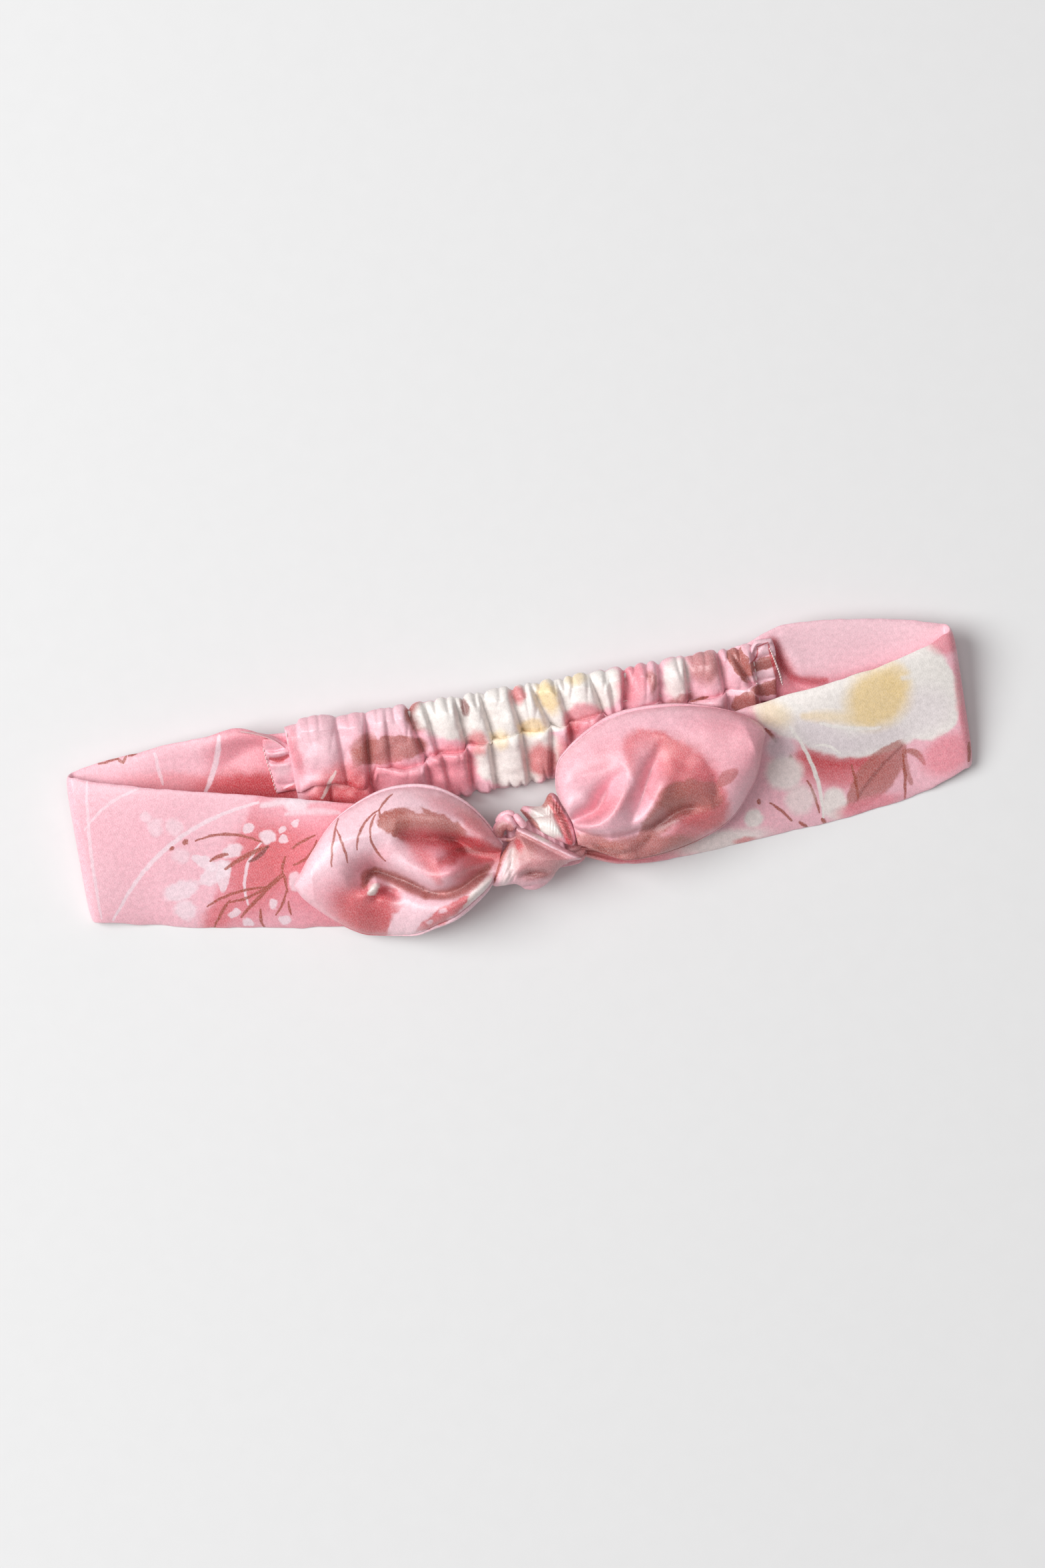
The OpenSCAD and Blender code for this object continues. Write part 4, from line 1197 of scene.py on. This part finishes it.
RIGHT_TAB_FOLDS = [
    (valley, [(66.5, 24, 1), (70, 24.4, 1), (74, 24.8, 1)], 0.8, 0.6),
    (valley, [(67, 18.2, 0.8), (70, 18.3, 1), (73, 18.4, 0.8)], 0.8, 0.6),
    (ridge, [(66, 23.6, 1), (67, 26, 1), (68.8, 28.2, 1), (72.6, 28, 0.8)], 1.3, 0.6),
    (valley, [(67, 23.8, 1), (68.2, 26, 1), (69.6, 27.2, 0.8)], 0.7, 0.5),
    (valley, [(67.5, 21.2, 0.5), (73, 21.2, 0.8)], 0.5, 0.6),
]
# Heights over the slope of the allowances and of the flap's root, then how much the flap swells
# up and how far its free edge lifts from there.
ALLOWANCE_Z = 1.5
FLAP_Z = -0.5
FLAP_SWELL = 1.4
FLAP_LIFT = 1.7


def allowance(sides, relief):
    """Grids of a seam allowance that lies folded over on the inner face, beside the casing."""
    a, b = (spline(line, 70)[:, None] for line in sides)
    k = rounded(34)[None, :, None]
    plan = a * (1 - k) + b * k
    x, y = plan[..., 0], plan[..., 1]
    rim = bulge(2 * k[..., 0] - 1, 6) * bulge(2 * np.linspace(0, 1, 70)[:, None] - 1, 14)
    base = slope_z(y) + ALLOWANCE_Z
    top = stacked(x, y, base + rim * (1.1 + relief(x, y)))
    under = stacked(x, y, base - 0.3 * rim)
    return [(top, plan_uv(top)), (under, plan_uv(under, (0, 40)))]


def flap_rise(t):
    """Share of its full height that the curled flap has along its length, highest past its middle."""
    return np.clip(np.sin(math.pi * t ** 1.5), 0, 1) ** 0.6


def curled_flap():
    """Grids of a fold of the band that stands up along its free edge, over the left allowance."""
    a, b = (spline(line, 70)[:, None] for line in (CURLED_EDGE, CURLED_ROOT))
    k = np.linspace(0, 1, 30)[None, :, None] ** 1.4
    plan = a * (1 - k) + b * k
    x, y, v = plan[..., 0], plan[..., 1], k[..., 0]
    ends = flap_rise(np.linspace(0, 1, 70)[:, None])
    base = slope_z(y) + FLAP_Z + FLAP_SWELL * ends * (1 - v ** 2)
    rise = FLAP_LIFT * (1 - v) ** 1.3 * ends
    rim = np.sqrt(np.clip(v / 0.08, 0, 1)) * (1 - v ** 4) * ends
    thick = (0.9 + 0.5 * bell(v - 0.12, 0.1)) * rim
    crease = 0.35 * ripple(x, y, 3, 85) * (1 - v) * v * 4
    top = stacked(x, y, base + rise + thick + crease)
    under = stacked(x, y, base + rise + crease)
    return [(top, plan_uv(top)), (under, plan_uv(under))]


def flap_thread():
    """The thread on the curled flap's free edge, which starts and ends inside the band's cloth."""
    steps = zip(spline(CURLED_EDGE, 60), np.linspace(0, 1, 60))
    path = [(x, y, slope_z(y) + FLAP_Z + (FLAP_SWELL + FLAP_LIFT) * flap_rise(t) + 0.1)
            for (x, y), t in steps]
    return path[5:-3]


def left_tab_folds(x, y):
    return relief_of(x, y, LEFT_TAB_FOLDS) + 0.25 * ripple(x, y, 2.5, 81)


def right_tab_folds(x, y):
    return relief_of(x, y, RIGHT_TAB_FOLDS) + 0.2 * ripple(x, y, 2.4, 83)


def threads(name, lines, radii, material):
    """Round strands or rolls along lines of points, all of one radius or each of its own."""
    grids = []
    a = np.linspace(0, 2 * math.pi, 17)
    radii = radii if isinstance(radii, list) else [radii] * len(lines)
    for path, radius in zip(lines, radii):
        line = spline(path, 8 * len(path))
        forward = np.gradient(line, axis=0)
        forward /= np.linalg.norm(forward, axis=1, keepdims=True)
        side = np.cross(forward, [0.3, 0.1, 1.0])
        side /= np.linalg.norm(side, axis=1, keepdims=True)
        up = np.cross(side, forward)
        thin = bulge(np.linspace(-1, 1, len(line)), 12) * radius
        ring = side[:, None] * np.cos(a)[:, None] + up[:, None] * np.sin(a)[:, None]
        points = line[:, None] + thin[:, None, None] * ring
        grids.append((points, points[..., :2]))
    return mesh_from_grids(name, grids, material)


def stitch_row(x, from_y, to_y, step, above):
    """Short straight stitches up the slope, their ends sunk 0.25 mm into the cloth."""
    sunk = above - 0.25
    return [[(x, y + part * step, slope_z(y + part * step) + height)
             for part, height in ((0, sunk), (0.35, above), (0.7, sunk))]
            for y in np.arange(from_y, to_y, step)]


def overlock(line, above, width, step):
    """A loop of thread that swings to and fro along the raw edge of an allowance."""
    count = int(np.linalg.norm(np.diff(np.array(line, float), axis=0), axis=1).sum() / step)
    path = spline(line, count)
    swing = np.where(np.arange(count) % 2, width, -width)
    x, y = path[:, 0] + swing / 2, path[:, 1] + 0.2 * swing
    return list(zip(x, y, slope_z(y) + above - 0.5 * (swing > 0)))


# ---------------------------------------------------------------- making the pieces

THREAD = dull("Thread", srgb(240, 226, 224), srgb(226, 200, 198), 0.5, 0.75)
ELASTIC = dull("Woven elastic", srgb(244, 243, 240), srgb(226, 222, 218), 0.9, 0.85)
BAND_L = satin("Band print left", PINK, BAND_LEFT)
RETURN_L = satin("Return print and painted shade left", PINK, BAND_LEFT_RETURN)
TAB_L = satin("Tab print left", PINK, TAB_LEFT)
BAND_R = satin("Band print right", PINK, BAND_RIGHT, 0.5)
RETURN_R = satin("Return print and painted shade right", PINK, BAND_RIGHT_RETURN, 0.5)
CASING_M = satin("Casing print and painted shade", PINK, CASING)
EAR_L = satin("Ear print, painted shade and highlight left", PALE, EAR_LEFT)
EAR_R = satin("Ear print and painted shade right", PINK, EAR_RIGHT)
KNOT_M = satin("Knot print", PINK, KNOT)

band_left = band_half(-1, BAND_L)
paint_return(band_left, RETURN_L)
band_right = band_half(1, BAND_R)
paint_return(band_right, RETURN_R)
casing = casing_piece(CASING_M)
gather = gather_piece(BAND_R)
loop = knot_loop(KNOT_M)
ear_left = ear("ear_left", LEFT_UPPER, LEFT_LOWER, EAR_L, 10.2, left_folds, LEFT_LIPS)
ear_right = ear("ear_right", RIGHT_UPPER, RIGHT_LOWER, EAR_R, 9.8, right_folds, RIGHT_LIPS)
front_wrap = pad("knot_front_wrap", FRONT_WRAP, 5.6, KNOT_M, wrap_folds)
side_wrap = pad("knot_side_wrap", SIDE_WRAP, 4.8, KNOT_M, side_folds)
tuck = threads("knot_tuck", TUCKS, TUCK_RADII, KNOT_M)
tab_left = mesh_from_grids("join_tab_left", allowance(LEFT_TAB, left_tab_folds) + curled_flap(), TAB_L)
tab_right = mesh_from_grids("join_tab_right", allowance(RIGHT_TAB, right_tab_folds), CASING_M)
stitches_left = threads("join_stitches_left", stitch_row(-60.2, 20.2, 26, 1.7, 2.9), 0.14, THREAD)
stitches_right = threads("join_stitches_right", stitch_row(67.2, 12.8, 24, 1.9, 3.3), 0.26, THREAD)
left_raw_edge = overlock([(-67.2, 24), (-66.9, 20), (-66.4, 15.5), (-66, 11.2)], 2.2, 0.22, 0.5)
overlock_left = threads("overlock_left", [flap_thread(), left_raw_edge], 0.13, THREAD)
right_raw_edges = [overlock([(72, 27), (72.9, 23.5), (73.7, 19.5), (74.1, 16)], 2.5, 0.16, 0.36),
                   overlock([(72.7, 24.5), (73.5, 21), (74.2, 17.5)], 2.2, 0.14, 0.4)]
overlock_right = threads("overlock_right", right_raw_edges, 0.2, THREAD)
seam_plan = [(x, line_at(MIDDLE_SEAM, x)) for x in np.arange(-59, 67, 1.5)]
seam_path = [(x, y + 0.5, slope_z(y) + 2.6 + 0.25 * math.sin(2.1 * x)) for x, y in seam_plan]
casing_seam = threads("casing_seam", [seam_path], 0.14, THREAD)

# ---------------------------------------------------------------- what each piece is

ON_BACK = {
    casing: "elastic_casing", tab_left: "left_join_allowance", tab_right: "right_join_allowance",
    stitches_left: "left_join_stitches", stitches_right: "right_join_stitches", casing_seam: "casing_seam",
    overlock_left: "left_join_allowance", overlock_right: "right_join_allowance",
}
ON_FRONT = {
    gather: "band_gather", loop: "knot_loop", front_wrap: "knot_front_wrap", side_wrap: "knot_side_wrap",
    tuck: "knot_tuck",
}
for pieces, body in ((ON_BACK, "back"), (ON_FRONT, "front")):
    for piece, node in pieces.items():
        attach(piece, body)
        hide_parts(node)
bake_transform(band_left)
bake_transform(band_right)
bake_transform(ear_left)
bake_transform(ear_right)
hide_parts("left_folded_end", "front_left_panel")
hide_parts("right_folded_end", "front_right_panel")
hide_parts("ear_left_face", "ear_left_back")
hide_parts("ear_right_face", "ear_right_back")

# The elastic strip from model.glb takes the woven elastic material.
for slot_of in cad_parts["elastic_strip"].material_slots:
    slot_of.material = ELASTIC

# ---------------------------------------------------------------- floor, light and camera


def linked(name, data):
    obj = bpy.data.objects.new(name, data)
    bpy.context.scene.collection.objects.link(obj)
    return obj


def plane(name, size, material):
    """A level square at height 0, with its centre at the origin."""
    mesh = bpy.data.meshes.new(name)
    bm = bmesh.new()
    bmesh.ops.create_grid(bm, x_segments=4, y_segments=4, size=size)
    bm.to_mesh(mesh)
    bm.free()
    mesh.materials.append(material)
    return linked(name, mesh)


def area_light(name, place, size, power, colour=(1, 1, 1)):
    """A round soft light that points at the origin."""
    light = bpy.data.lights.new(name, "AREA")
    light.shape = "DISK"
    light.size = size
    light.energy = power
    light.color = colour
    obj = linked(name, light)
    obj.location = place
    obj.rotation_euler = (-obj.location.normalized()).to_track_quat("-Z", "Y").to_euler()


scene = bpy.context.scene
table_paper = dull("Table", srgb(230, 230, 230), srgb(227, 227, 227), 6.0, 0.9, 0.00002)
plane("floor", 6.0, table_paper)
area_light("key", (-1.5, 0.4, 1.75), 1.8, 57.5, (0.985, 1, 1))
area_light("overhead", (0.1, 0.1, 2.4), 1.4, 10)
scene.world = bpy.data.worlds.new("Studio")
scene.world.use_nodes = True
surroundings = scene.world.node_tree.nodes["Background"].inputs
surroundings["Color"].default_value = (1, 0.94, 0.95, 1)
surroundings["Strength"].default_value = 0.216
scene.view_settings.view_transform = "Standard"

camera = bpy.data.cameras.new("camera")
camera.lens = 101
camera.sensor_width = 36
camera_obj = linked("camera", camera)
camera_obj.location = (0.0001, 0.0019, 1.2)
camera_obj.rotation_euler = (0, 0, math.radians(-10))
scene.camera = camera_obj
